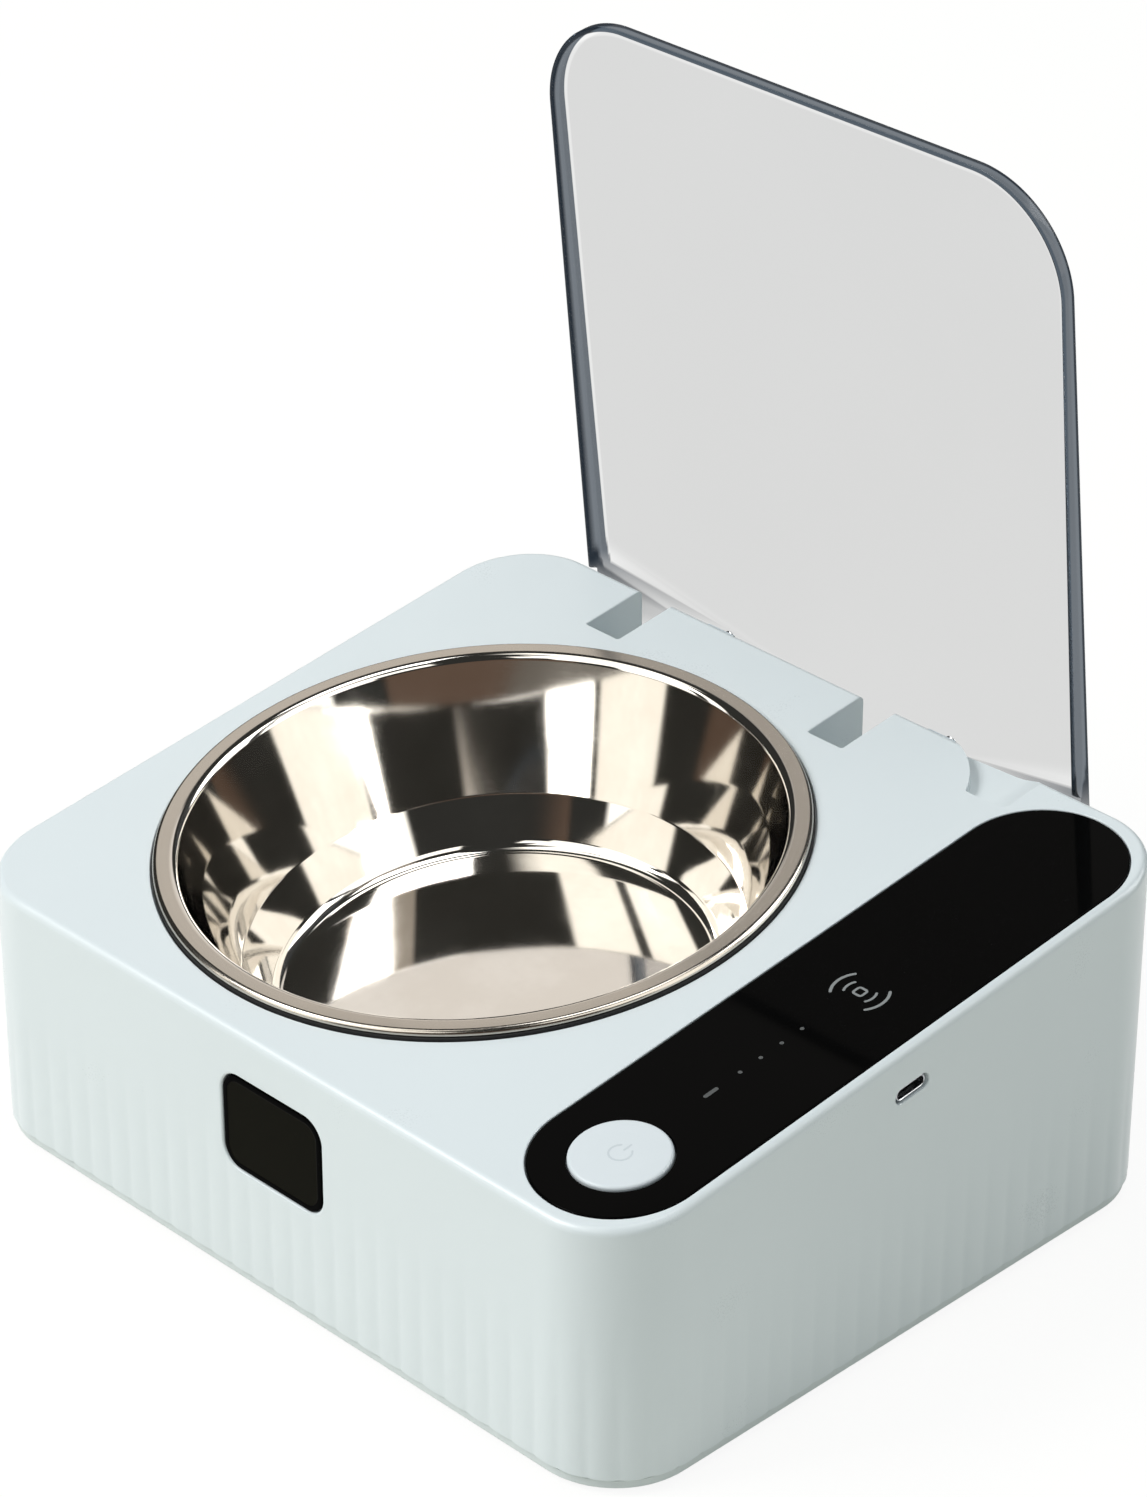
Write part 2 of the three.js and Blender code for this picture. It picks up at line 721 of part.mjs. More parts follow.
function powerButton() {
  const flangeTop = -panelThickness - seat;
  const flangeBottom = flangeTop - buttonFlangeThickness;
  const stemBottom = plungerTop + seat;
  const edge = buttonRadius - buttonRound;
  const points = [[0, stemBottom], [buttonStemRadius, stemBottom], [buttonStemRadius, flangeBottom]];
  points.push([buttonRadius + buttonFlange, flangeBottom], [buttonRadius + buttonFlange, flangeTop]);
  points.push([buttonRadius, flangeTop], [buttonRadius, buttonProud - buttonRound]);
  for (let i = 1; i <= filletSteps; i += 1) {
    const turn = (i / filletSteps) * (Math.PI / 2);
    const height = buttonProud - buttonRound * (1 - Math.sin(turn));
    points.push([edge + buttonRound * Math.cos(turn), height]);
  }
  points.push([0, buttonProud]);
  return spin(points, buttonSteps).translate(panelX, panelFrontY, 0);
}

// Circuit board hung under the strip, with the parts that it carries
const boardTop = -boardDepth;
const boardBottom = boardTop - boardThickness;

function mainBoard() {
  const outline = roundedRectangle(
    panelX - boardHalfWidth,
    panelX + boardHalfWidth,
    boardFront,
    boardRear,
    boardRadius,
    boardRadius / 4,
  );
  const holes = boardScrewPlaces().map(([x, y]) =>
    rod(boardScrewRadius + seat, boardBottom - overrun, boardTop + overrun, smallSteps).translate(x, y, 0));
  return carve(slab(outline, boardBottom, boardTop), [], holes);
}

function boardScrewPlaces() {
  const places = bossesUnderStrip();
  return [places[1], places[2]];
}

function boardScrew([x, y]) {
  const body = screw(boardScrewRadius, boardScrewLength, boardScrewHeadRadius, boardScrewHeadHeight);
  return body.rotateX(Math.PI).translate(x, y, boardBottom - seat);
}

function switchBody() {
  const half = switchWidth / 2;
  const bottom = boardTop + seat;
  const top = bottom + switchHeight;
  const bore = rod(plungerRadius + seat, top - plungerLength - plungerStroke, top + overrun, smallSteps);
  return carve(box(-half, half, -half, half, bottom, top), [], [bore]).translate(panelX, panelFrontY, 0);
}

function switchPlunger() {
  const bottom = plungerTop - plungerProud - plungerLength + seat;
  return rod(plungerRadius, bottom, plungerTop, smallSteps).translate(panelX, panelFrontY, 0);
}

function lamp(along) {
  const half = lampWidth / 2;
  const bottom = boardTop + seat;
  return box(-half, half, along - half, along + half, bottom, bottom + lampHeight).translate(panelX, 0, 0);
}

// One clear bar over the lamps, with a dash and dots that rise to the strip.
function lightGuide() {
  const bottom = boardTop + 2 * seat + lampHeight;
  const barTop = bottom + guideBarHeight;
  const top = -panelThickness - seat;
  const half = guideWidth / 2;
  const front = lampAlong[0] - guideMargin;
  const rear = lampAlong.at(-1) + guideMargin;
  const risers = lampAlong.map((along, i) => {
    const length = i === 0 ? guideDashLength : guideDotWidth;
    const halfDot = guideDotWidth / 2;
    return box(-halfDot, halfDot, along - length / 2, along + length / 2, barTop - guideBarHeight / 2, top);
  });
  return carve(box(-half, half, front, rear, bottom, barTop), risers, []).translate(panelX, 0, 0);
}

function buzzer() {
  const top = boardBottom - seat;
  return rod(buzzerRadius, top - buzzerHeight, top).translate(panelX, buzzerAlong, 0);
}

function socketOutline(inset) {
  const radius = socketHeight / 2 - inset;
  const reach = (socketWidth - socketHeight) / 2;
  const shape = new THREE.Shape();
  shape.absarc(socketAlong + reach, socketZ, radius, -Math.PI / 2, Math.PI / 2);
  shape.absarc(socketAlong - reach, socketZ, radius, Math.PI / 2, (3 * Math.PI) / 2);
  shape.closePath();
  return shape;
}

const socketMouth = halfWidth - socketSetback;
const socketBack = socketMouth - socketLength;

function socketShell() {
  const body = slab(socketOutline(0), socketBack, socketMouth);
  const hollow = slab(socketOutline(socketSheet), socketBack + socketSheet, socketMouth + overrun);
  return carve(body, [], [hollow]).applyMatrix4(alongX);
}

function socketTongue() {
  const back = socketBack + socketSheet + seat;
  const half = tongueWidth / 2;
  const halfHeight = tongueHeight / 2;
  const front = socketAlong - half;
  const bottom = socketZ - halfHeight;
  return box(back, back + tongueLength, front, front + tongueWidth, bottom, bottom + tongueHeight);
}

// Sensor window and its board, drawn in X and Z on the front wall
const windowMiddle = windowBottom + windowHeight / 2;

function windowOutline(grow) {
  return roundedRectangle(
    -windowWidth / 2 - grow,
    windowWidth / 2 + grow,
    windowBottom - grow,
    windowBottom + windowHeight + grow,
    windowRadius + grow,
  );
}

function sensorWindow() {
  const inside = halfDepth - wall - seat;
  const face = slab(windowOutline(-seat), inside - windowFlangeThickness / 2, halfDepth - windowSetback);
  const flange = slab(windowOutline(windowFlange), inside - windowFlangeThickness, inside);
  return carve(face, [flange], []).applyMatrix4(alongY);
}

const sensorBoardFace = halfDepth - wall - sensorStandoff;

function sensorBoard() {
  const half = sensorBoardWidth / 2;
  const halfHeight = sensorBoardHeight / 2;
  return box(
    -half,
    half,
    -sensorBoardFace,
    -sensorBoardFace + boardThickness,
    windowMiddle - halfHeight,
    windowMiddle + halfHeight,
  );
}

function sensorEye(side) {
  const front = halfDepth - wall - windowFlangeThickness - 2 * seat;
  const body = rod(eyeRadius, sensorBoardFace + seat, front);
  return body.translate((side * eyeSpacing) / 2, windowMiddle, 0).applyMatrix4(alongY);
}

// Hinge, in the lid frame
function hingeShaft() {
  const left = bearings[0].x - shaftEnd;
  const last = bearings.at(-1);
  return crossRod(left, shaftRadius, last.x + last.width + shaftEnd - left);
}

// A flanged bush pressed into a wall from one side, in the deck frame.
function bush({ x, width, flangeRight }) {
  const inner = shaftRadius + runningGap;
  const outer = bushOuter + bushFlange;
  const start = width + seat;
  const end = start + bushFlangeThickness;
  const points = [[inner, 0], [bushOuter, 0], [bushOuter, start]];
  points.push([outer, start], [outer, end], [inner, end]);
  const body = spin(points, holeSteps);
  if (!flangeRight) body.rotateX(Math.PI).translate(0, 0, width);
  return body.applyMatrix4(alongX).translate(x, hingeY, hingeZ);
}

const lidOuter = hingeDepth + lidHeight;
const lidInner = lidOuter - lidSheet;

function hingeArm(x) {
  const footTop = lidInner - seat;
  const footBottom = footTop - armFootThickness;
  const web = new THREE.Shape();
  web.moveTo(-armWebHalf, 0);
  web.lineTo(armWebHalf, 0);
  web.lineTo(armWebHalf, footBottom);
  web.lineTo(armFootHeel, footBottom);
  web.lineTo(armFootHeel, footTop);
  web.lineTo(-armFootToe, footTop);
  web.lineTo(-armFootToe, footBottom);
  web.lineTo(-armWebHalf - armGusset, footBottom);
  web.lineTo(-armWebHalf, footBottom - armGussetDrop);
  web.closePath();
  const left = x - armWidth / 2;
  const right = x + armWidth / 2;
  const hub = rod(armHubRadius, left, right).applyMatrix4(alongX);
  const bore = rod(shaftRadius + runningGap, left - overrun, right + overrun).applyMatrix4(alongX);
  const holes = armScrewAlong.map((along) => {
    const hole = rod(armScrewRadius + seat, footBottom - overrun, footTop + overrun, smallSteps);
    return hole.translate(x, along, 0);
  });
  return carve(slab(web, left, right).applyMatrix4(alongX), [hub], [bore, ...holes]);
}

function armScrew(x, along) {
  const body = sunkScrew(armScrewRadius, armScrewLength, armScrewHeadRadius, armScrewHeadHeight);
  return body.translate(x, along, lidOuter);
}

// Lid: a sheet with a skirt that tapers from the hinge to the free edge, where it runs out into the sheet.
const lidFront = -deckHalf + lidFrontMargin - hingeY;
const lidRear = hingeFromRear - lidRearMargin;

function lidPanel() {
  const bottom = lidOuter - lidSkirt;
  const outline = roundedRectangle(lidLeft, lidRight, lidFront, lidRear, lidFrontRadius, lidRearRadius);
  const sheet = new THREE.ExtrudeGeometry(outline, {
    depth: lidSkirt - 2 * lidRound,
    bevelEnabled: true,
    bevelThickness: lidRound,
    bevelSize: lidRound,
    bevelOffset: -lidRound,
    bevelSegments: 2,
    curveSegments: cornerSteps,
  }).translate(0, 0, bottom + lidRound);
  const pocket = roundedRectangle(
    lidLeft + lidSkirtWall,
    lidRight - lidSkirtWall,
    lidFront + lidSkirtWall,
    lidRear + lidFrontRadius,
    lidFrontRadius - lidSkirtWall,
  );
  const removed = [slab(pocket, bottom - overrun, lidInner)];
  removed.push(box(
    lidLeft - overrun,
    lidRight + overrun,
    -lidSkirtEnd,
    lidRear + overrun,
    bottom - overrun,
    lidInner,
  ));
  const run = -lidSkirtEnd - lidFront;
  const taper = Math.atan((lidSkirt - lidFrontEdge) / run);
  const under = box(lidLeft - overrun, lidRight + overrun, -run - lidFrontRadius, lidSkirtEnd, -lidSkirt, 0);
  removed.push(under.rotateX(-taper).translate(0, -lidSkirtEnd, bottom));
  for (const x of notchX) {
    for (const along of armScrewAlong) {
      const shank = armScrewRadius + seat;
      const head = armScrewHeadRadius + seat;
      const points = [[0, -lidSheet - overrun], [shank, -lidSheet - overrun]];
      points.push([shank, -armScrewHeadHeight - seat], [head, 0], [head, overrun], [0, overrun]);
      removed.push(spin(points, smallSteps).translate(x, along, lidOuter));
    }
  }
  return carve(sheet, [], removed);
}

// Gears: involute teeth drawn in the plane across the shaft
function toothFlank(teeth) {
  const pitch = (gearModule * teeth) / 2;
  const base = pitch * Math.cos(pressureAngle);
  const root = pitch - gearModule * dedendumShare;
  const tip = pitch + gearModule * addendumShare;
  const involute = (radius) => {
    const angle = Math.acos(Math.min(1, base / radius));
    return Math.tan(angle) - angle;
  };
  const half = Math.PI / (2 * teeth) - toothThinning / (2 * pitch) + involute(pitch);
  const start = Math.max(base, root);
  const flank = [[root, half - involute(start)]];
  for (let i = 0; i <= flankSteps; i += 1) {
    const radius = start + ((tip - start) * i) / flankSteps;
    if (radius > root) flank.push([radius, half - involute(radius)]);
  }
  return flank;
}

function toothPoints(teeth, centre) {
  const flank = toothFlank(teeth);
  const at = (radius, angle) => new THREE.Vector2(radius * Math.cos(angle), radius * Math.sin(angle));
  const rising = flank.map(([radius, half]) => at(radius, centre - half));
  const falling = flank.map(([radius, half]) => at(radius, centre + half)).reverse();
  return [...rising, ...falling];
}

function sectorGear() {
  const step = (2 * Math.PI) / sectorTeeth;
  const points = [];
  for (let tooth = sectorFirstTooth; tooth <= sectorLastTooth; tooth += 1) {
    points.push(...toothPoints(sectorTeeth, Math.PI + tooth * step));
  }
  points.push(new THREE.Vector2(0, 0));
  const rim = slab(new THREE.Shape(points), gearX, gearX + gearWidth).applyMatrix4(alongX);
  const hub = crossRod(gearX, sectorHubRadius, gearWidth);
  const bore = crossRod(gearX - overrun, shaftRadius + runningGap, gearWidth + 2 * overrun);
  return carve(rim, [hub], [bore]);
}

function pinion() {
  const step = (2 * Math.PI) / pinionTeeth;
  const points = [];
  for (let tooth = 0; tooth < pinionTeeth; tooth += 1) {
    points.push(...toothPoints(pinionTeeth, (tooth + 1 / 2) * step));
  }
  const body = slab(new THREE.Shape(points), gearX, gearX + gearWidth).applyMatrix4(alongX);
  const bore = crossRod(gearX - overrun, outputRadius + runningGap, gearWidth + 2 * overrun);
  return carve(body, [], [bore]).translate(0, pinionY, hingeZ);
}

// Gear motor on the outer face of the second rib, in the deck frame
const gearboxLeft = ribX[1] + ribThickness + seat;

function outputShaft() {
  const left = gearX - seat;
  return crossRod(left, outputRadius, gearboxLeft + outputEngage - left).translate(0, pinionY, hingeZ);
}

function gearbox() {
  const halfWide = gearboxWidth / 2;
  const halfHigh = gearboxHeight / 2;
  const body = box(gearboxLeft, gearboxLeft + gearboxLength, -halfWide, halfWide, -halfHigh, halfHigh);
  const engaged = outputEngage + seat + overrun;
  const removed = [crossRod(gearboxLeft - overrun, outputRadius + runningGap, engaged)];
  for (const side of [-1, 1]) {
    const depth = motorScrewLength - ribThickness;
    const hole = crossRod(gearboxLeft - overrun, motorScrewRadius + seat, depth + seat + overrun);
    removed.push(hole.translate(0, side * motorScrewAcross, 0));
  }
  return carve(body, [], removed).translate(0, pinionY, hingeZ);
}

function motorCan() {
  const left = gearboxLeft + gearboxLength + seat;
  const can = solid(crossRod(left, motorRadius, motorLength));
  const right = left + motorLength;
  const half = motorFlatHalf;
  const flats = box(left - overrun, right + overrun, -motorRadius, motorRadius, -half, half);
  return geometryOf(can.intersect(solid(flats))).translate(0, pinionY, hingeZ);
}

function motorScrew(side) {
  const body = screw(motorScrewRadius, motorScrewLength, motorScrewHeadRadius, motorScrewHeadHeight);
  const turned = body.rotateX(Math.PI).applyMatrix4(alongX);
  return turned.translate(ribX[1] - seat, pinionY + side * motorScrewAcross, hingeZ);
}

// Cell and holder on the base cover
const holderBottom = baseTop + seat;
const cellZ = holderBottom + holderFloor + seat + cellRadius;

function cell() {
  const body = rod(cellRadius, 0, cellLength).applyMatrix4(alongY);
  return body.translate(cellX, cellFront + cellLength, cellZ);
}

function cellHolder() {
  const half = cellRadius + seat + holderWall;
  const ends = seat + holderWall;
  const top = cellZ + cellRadius * (1 - holderGripShare);
  const front = cellFront - ends;
  const rear = cellFront + cellLength + ends;
  const body = box(-half, half, front, rear, holderBottom, top);
  const hollow = rod(cellRadius + seat, 0, cellLength + 2 * seat).applyMatrix4(alongY);
  hollow.translate(0, cellFront + cellLength + seat, cellZ);
  const mouth = box(
    -cellRadius - seat,
    cellRadius + seat,
    cellFront - seat,
    cellFront + cellLength + seat,
    cellZ,
    top + overrun,
  );
  return carve(body, [], [hollow, mouth]).translate(cellX, 0, 0);
}

function baseScrew([x, y]) {
  const body = screw(baseScrewRadius, baseScrewLength, baseScrewHeadRadius, baseScrewHeadHeight);
  return body.rotateX(Math.PI).translate(x, y, baseBottom + baseScrewHeadHeight);
}

// A lead: a round section carried along its route.
function lead(route) {
  const path = new THREE.CatmullRomCurve3(route.map((point) => new THREE.Vector3(...point)));
  const section = new THREE.Shape();
  for (let i = 0; i < leadSides; i += 1) {
    const turn = (2 * Math.PI * i) / leadSides;
    const point = [leadRadius * Math.cos(turn), leadRadius * Math.sin(turn)];
    if (i === 0) section.moveTo(...point);
    else section.lineTo(...point);
  }
  section.closePath();
  const steps = Math.round(path.getLength() / leadPitch);
  return new THREE.ExtrudeGeometry(section, { steps, extrudePath: path });
}

// Finishes
const finishes = {
  white: { color: 0xe2e9eb, roughness: 0.45, metalness: 0 },
  base: { color: 0xd5dcdc, roughness: 0.55, metalness: 0 },
  steel: { color: 0xb8b0a8, roughness: 0.12, metalness: 1 },
  rubber: { color: 0x1a1a1a, roughness: 0.8, metalness: 0 },
  strip: { color: 0x0c0c0c, roughness: 0.08, metalness: 0 },
  button: { color: 0xe2e8ec, roughness: 0.4, metalness: 0 },
  circuit: { color: 0x1f5a38, roughness: 0.5, metalness: 0 },
  dark: { color: 0x1c1c1e, roughness: 0.5, metalness: 0 },
  lamp: { color: 0xf2f0dc, roughness: 0.3, metalness: 0 },
  nickel: { color: 0xc4c6c8, roughness: 0.25, metalness: 1 },
  brass: { color: 0xb89a54, roughness: 0.35, metalness: 1 },
  window: { color: 0x21201c, roughness: 0.15, metalness: 0 },
  arm: { color: 0xc9d0d4, roughness: 0.45, metalness: 0 },
  smoky: { color: 0x8e9aa4, roughness: 0.05, metalness: 0 },
  cell: { color: 0x2d6fae, roughness: 0.4, metalness: 0 },
  sleeve: { color: 0x2a2a2c, roughness: 0.6, metalness: 0 },
  gear: { color: 0xe8e4d8, roughness: 0.5, metalness: 0 },
};

function piece(name, geometry, finish) {
  const { color, roughness, metalness } = finishes[finish];
  const mesh = new THREE.Mesh(geometry, new THREE.MeshStandardMaterial({ color, roughness, metalness }));
  mesh.name = name;
  return mesh;
}

// Assembly: pieces in the body's upright frame, in the deck frame and in the lid frame
const upright = new THREE.Group();
upright.add(piece('upper_housing', upperHousing(), 'white'));
upright.add(piece('base_cover', baseCover(), 'base'));
feetPlaces().forEach(([x, y], i) => {
  const mesh = piece(`rubber_foot_${i + 1}`, foot(), 'rubber');
  mesh.position.set(x, y, 0);
  upright.add(mesh);
});
cornerPosts().forEach((place, i) => {
  upright.add(piece(`base_screw_${i + 1}`, baseScrew(place), 'nickel'));
});
upright.add(piece('sensor_window', sensorWindow(), 'window'));
upright.add(piece('sensor_board', sensorBoard(), 'circuit'));
upright.add(piece('infrared_emitter', sensorEye(-1), 'lamp'));
upright.add(piece('infrared_receiver', sensorEye(1), 'dark'));
upright.add(piece('cell_holder', cellHolder(), 'dark'));
upright.add(piece('battery_cell', cell(), 'cell'));
upright.add(piece('motor_lead', lead(motorLead), 'sleeve'));
upright.add(piece('cell_lead', lead(cellLead), 'sleeve'));
upright.add(piece('sensor_lead', lead(sensorLead), 'sleeve'));

const deck = new THREE.Group();
deck.position.z = deckHeight;
deck.rotation.x = deckTilt;
deck.add(piece('bowl_seal', bowlSeal(), 'rubber'));
deck.add(piece('food_bowl', bowl(), 'steel'));
deck.add(piece('control_panel', controlPanel(), 'strip'));
deck.add(piece('power_button', powerButton(), 'button'));
deck.add(piece('switch_plunger', switchPlunger(), 'dark'));
deck.add(piece('switch_body', switchBody(), 'dark'));
deck.add(piece('main_board', mainBoard(), 'circuit'));
boardScrewPlaces().forEach((place, i) => {
  deck.add(piece(`board_screw_${i + 1}`, boardScrew(place), 'nickel'));
});
deck.add(piece('light_guide', lightGuide(), 'lamp'));
lampAlong.forEach((along, i) => deck.add(piece(`indicator_led_${i + 1}`, lamp(along), 'lamp')));
deck.add(piece('buzzer', buzzer(), 'dark'));
deck.add(piece('usb_shell', socketShell(), 'nickel'));
deck.add(piece('usb_tongue', socketTongue(), 'dark'));
bearings.forEach((bearing, i) => deck.add(piece(`hinge_bush_${i + 1}`, bush(bearing), 'brass')));
deck.add(piece('drive_pinion', pinion(), 'brass'));
deck.add(piece('output_shaft', outputShaft(), 'nickel'));
deck.add(piece('gearbox', gearbox(), 'brass'));
deck.add(piece('motor_can', motorCan(), 'nickel'));
deck.add(piece('motor_screw_1', motorScrew(-1), 'nickel'));
deck.add(piece('motor_screw_2', motorScrew(1), 'nickel'));

const lid = new THREE.Group();
lid.position.set(0, hingeY, hingeZ);
lid.rotation.x = -lidOpening;
lid.add(piece('lid_panel', lidPanel(), 'smoky'));
lid.add(piece('hinge_shaft', hingeShaft(), 'nickel'));
notchX.forEach((x, side) => {
  lid.add(piece(`hinge_arm_${side + 1}`, hingeArm(x), 'arm'));
  armScrewAlong.forEach((along, i) => {
    lid.add(piece(`arm_screw_${2 * side + i + 1}`, armScrew(x, along), 'nickel'));
  });
});
deck.add(lid);

// The sector's teeth are drawn as they mesh with the lid open, and turn with the lid.
deck.add(placeSector());

function placeSector() {
  const mesh = piece('sector_gear', sectorGear(), 'gear');
  mesh.position.set(0, hingeY, hingeZ);
  return mesh;
}

// The origin is on the floor, under the middle of the whole outline with the lid open.
const group = new THREE.Group();
group.add(upright, deck);
group.updateMatrixWorld(true);
const extent = new THREE.Box3().setFromObject(group, true);
group.position.y = -(extent.min.y + extent.max.y) / 2;
group.updateMatrixWorld(true);

export default group;
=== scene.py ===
# %% [markdown]
# # A cat bowl with a lid that opens by itself
# The real object is a white plastic housing with a steel bowl, a glossy control strip and a clear lid on a
# motor hinge. Its CAD solids are loaded first, as a fixed frame. All that follows dresses them with finer
# skins, rounded edges and finishes, always at the places that the CAD gives.

# %% Load the fixed frame
import json
import math

import bpy
import numpy as np
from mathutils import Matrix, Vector


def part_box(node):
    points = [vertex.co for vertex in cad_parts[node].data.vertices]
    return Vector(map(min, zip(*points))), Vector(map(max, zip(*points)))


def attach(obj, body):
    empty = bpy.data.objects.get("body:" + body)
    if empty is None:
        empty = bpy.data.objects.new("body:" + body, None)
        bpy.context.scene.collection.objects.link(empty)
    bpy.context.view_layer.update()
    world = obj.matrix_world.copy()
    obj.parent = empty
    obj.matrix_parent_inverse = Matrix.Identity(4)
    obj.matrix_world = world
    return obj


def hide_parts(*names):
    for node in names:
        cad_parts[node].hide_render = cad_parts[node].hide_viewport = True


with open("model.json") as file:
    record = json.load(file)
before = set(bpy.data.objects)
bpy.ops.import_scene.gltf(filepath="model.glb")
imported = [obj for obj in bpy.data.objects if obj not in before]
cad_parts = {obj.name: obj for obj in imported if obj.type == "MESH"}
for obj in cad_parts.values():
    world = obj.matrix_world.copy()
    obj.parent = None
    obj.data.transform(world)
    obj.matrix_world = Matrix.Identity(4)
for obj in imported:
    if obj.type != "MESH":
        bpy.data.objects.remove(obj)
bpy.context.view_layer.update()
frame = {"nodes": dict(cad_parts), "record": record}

# %% [markdown]
# ## Sizes
# Lengths are in millimetres, as on the maker's drawing, and become metres when a skin is placed. The body is
# a wedge, 67 mm high at the front and 87.5 mm at the rear, so its top, the deck, is tilted by their
# difference over the depth. The middle of the body comes from the CAD housing's own box. The seat is the gap
# between neighbouring pieces, and the overrun is how far a cutter stands out of what it cuts.

# %% Name the driving sizes
MM = 0.001
housing_low, housing_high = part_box("upper_housing")
body_middle = (housing_low.y + housing_high.y) / 2 / MM
body_width, body_depth, body_corner = 210.0, 177.0, 21.0
front_height, rear_height = 67.0, 87.5
deck_slope = (rear_height - front_height) / body_depth
deck_tilt = math.atan(deck_slope)
deck_height = (front_height + rear_height) / 2
deck_half = body_depth / 2 / math.cos(deck_tilt)
seat = 0.3
overrun = 2.0
bowl_centre = (-21.2, -5.0)
hinge_y, hinge_z = deck_half - 10.6, -27.5
print("deck tilt in degrees:", round(math.degrees(deck_tilt), 3))

# %% [markdown]
# ## The camera
# The camera stands in front of the right-hand corner and looks down by 30 degrees, as in the photograph. Its
# place was worked out from the body's edges, so a long lens at more than a metre gives the same gentle
# perspective.


# %% Place the camera
def in_scene(name, data):
    """A new object in the scene, at the origin."""
    made = bpy.data.objects.new(name, data)
    bpy.context.scene.collection.objects.link(made)
    return made


camera_azimuth, camera_elevation = math.radians(45.453), math.radians(30.101)
camera_distance = 1076.32
camera_target = Vector((24.856, body_middle - 21.70, 124.718)) * MM
towards_camera = Vector((
    math.sin(camera_azimuth) * math.cos(camera_elevation),
    -math.cos(camera_azimuth) * math.cos(camera_elevation),
    math.sin(camera_elevation),
))
camera = in_scene("camera", bpy.data.cameras.new("camera"))
camera.location = camera_target + towards_camera * camera_distance * MM
camera.rotation_euler = (-towards_camera).to_track_quat("-Z", "Y").to_euler()
camera.data.lens = 122.1
camera.data.sensor_width = 36.0
bpy.context.scene.camera = camera
print("camera at", [round(value, 4) for value in camera.location])

# %% [markdown]
# ## Places on the object
# A hole in the deck is easiest to draw square to the deck, and the lid is easiest to draw closed. So each
# skin is drawn in a place of its own, an origin with three axes, and one matrix product puts it on the
# object.


# %% Describe a place and set up the ones that the object needs
class Place:
    """An origin in millimetres and three axes: point = origin + x * first + y * second + z * third."""

    def __init__(self, origin, first, second, third):
        self.origin = np.array(origin, float)
        self.axes = np.array([first, second, third], float)

    def at(self, points):
        """Local millimetres to metres on the object."""
        return (self.origin + points @ self.axes) * MM

    def local(self, points):
        """Metres on the object to local millimetres."""
        return (points / MM - self.origin) @ self.axes.T


across = np.array([1.0, 0.0, 0.0])
deck_rear = np.array([0.0, math.cos(deck_tilt), math.sin(deck_tilt)])
deck_up = np.cross(across, deck_rear)
upright = Place((0, body_middle, 0), across, (0, 1, 0), (0, 0, 1))
deck = Place((0, body_middle, deck_height), across, deck_rear, deck_up)
front_wall = Place((0, body_middle - body_depth / 2, 0), across, (0, 0, 1), (0, -1, 0))
right_wall = Place(deck.origin + across * body_width / 2, deck_rear, deck_up, across)
hinge_origin = deck.origin + deck_rear * hinge_y + deck_up * hinge_z
lid_open = Place(hinge_origin, across, -deck_up, deck_rear)
hinge_side = Place(hinge_origin, -deck_up, deck_rear, across)
print("hinge axis at", np.round(hinge_origin, 3))

# %% [markdown]
# ## Outlines
# Nearly every moulded edge here is a run of arcs joined by straight lines. Each sample of such a curve keeps
# the centre, radius and direction of its arc, so the same curve drawn in or out by any amount costs one
# subtraction, which is how walls, fillets and rounded mouths are made below.


# %% Draw curves made of arcs and straight lines
class Outline:
    """Arcs joined by lines: point = centre + (radius - inset) * (cos angle, sin angle), counterclockwise."""

    def __init__(self, arcs, count=None, steps=14):
        knots = np.array([[x, y, r, a] for x, y, r, first, last in arcs for a in (first, last)], float)
        knots = np.vstack([knots, knots[0] + [0, 0, 0, 2 * math.pi]])
        points = knots[:, :2] + knots[:, 2:3] * np.stack([np.cos(knots[:, 3]), np.sin(knots[:, 3])], 1)
        chords = np.linalg.norm(np.diff(points, axis=0), axis=1)
        turns = knots[:-1, 2] * np.diff(knots[:, 3])
        is_arc = np.arange(len(chords)) % 2 == 0
        along = np.concatenate([[0], np.cumsum(np.where(is_arc, turns, chords))])
        self.length = along[-1]
        if count:
            samples = np.arange(count) / count * self.length
        else:
            spans = [np.linspace(along[i], along[i + 1], steps + 1) for i in range(0, len(along) - 1, 2)]
            samples = np.unique(np.round(np.concatenate(spans), 9))
            samples = samples[samples < self.length - 1e-6]
        self.x, self.y, self.radius, self.angle = (np.interp(samples, along, knots[:, i]) for i in range(4))

    def ring(self, inset=0.0, height=0.0):
        """The curve drawn in by inset, which may differ from point to point, at a height above its plane."""
        reach = self.radius - inset
        x = self.x + reach * np.cos(self.angle)
        y = self.y + reach * np.sin(self.angle)
        return np.stack([x, y, np.broadcast_to(height, x.shape)], axis=1)


QUARTER = math.pi / 2


def rectangle(left, right, front, rear, front_radius, rear_radius=None, **sampling):
    """A rectangle with round corners, as four arcs."""
    back = front_radius if rear_radius is None else rear_radius
    return Outline([
        (right - front_radius, front + front_radius, front_radius, -QUARTER, 0),
        (right - back, rear - back, back, 0, QUARTER),
        (left + back, rear - back, back, QUARTER, 2 * QUARTER),
        (left + front_radius, front + front_radius, front_radius, 2 * QUARTER, 3 * QUARTER),
    ], **sampling)


def stadium(x, front, rear, radius, **sampling):
    """Two half circles joined by straight sides that run along Y."""
    arcs = [(x, rear, radius, 0, 2 * QUARTER), (x, front, radius, 2 * QUARTER, 4 * QUARTER)]
    return Outline(arcs, **sampling)


def capsule(left, right, y, radius):
    """Two half circles joined by straight sides that run along X."""
    return Outline([(right, y, radius, -QUARTER, QUARTER), (left, y, radius, QUARTER, 3 * QUARTER)])


body = rectangle(-body_width / 2, body_width / 2, -body_depth / 2, body_depth / 2, body_corner, steps=20)
print("outline of the body, mm round:", round(body.length, 1))

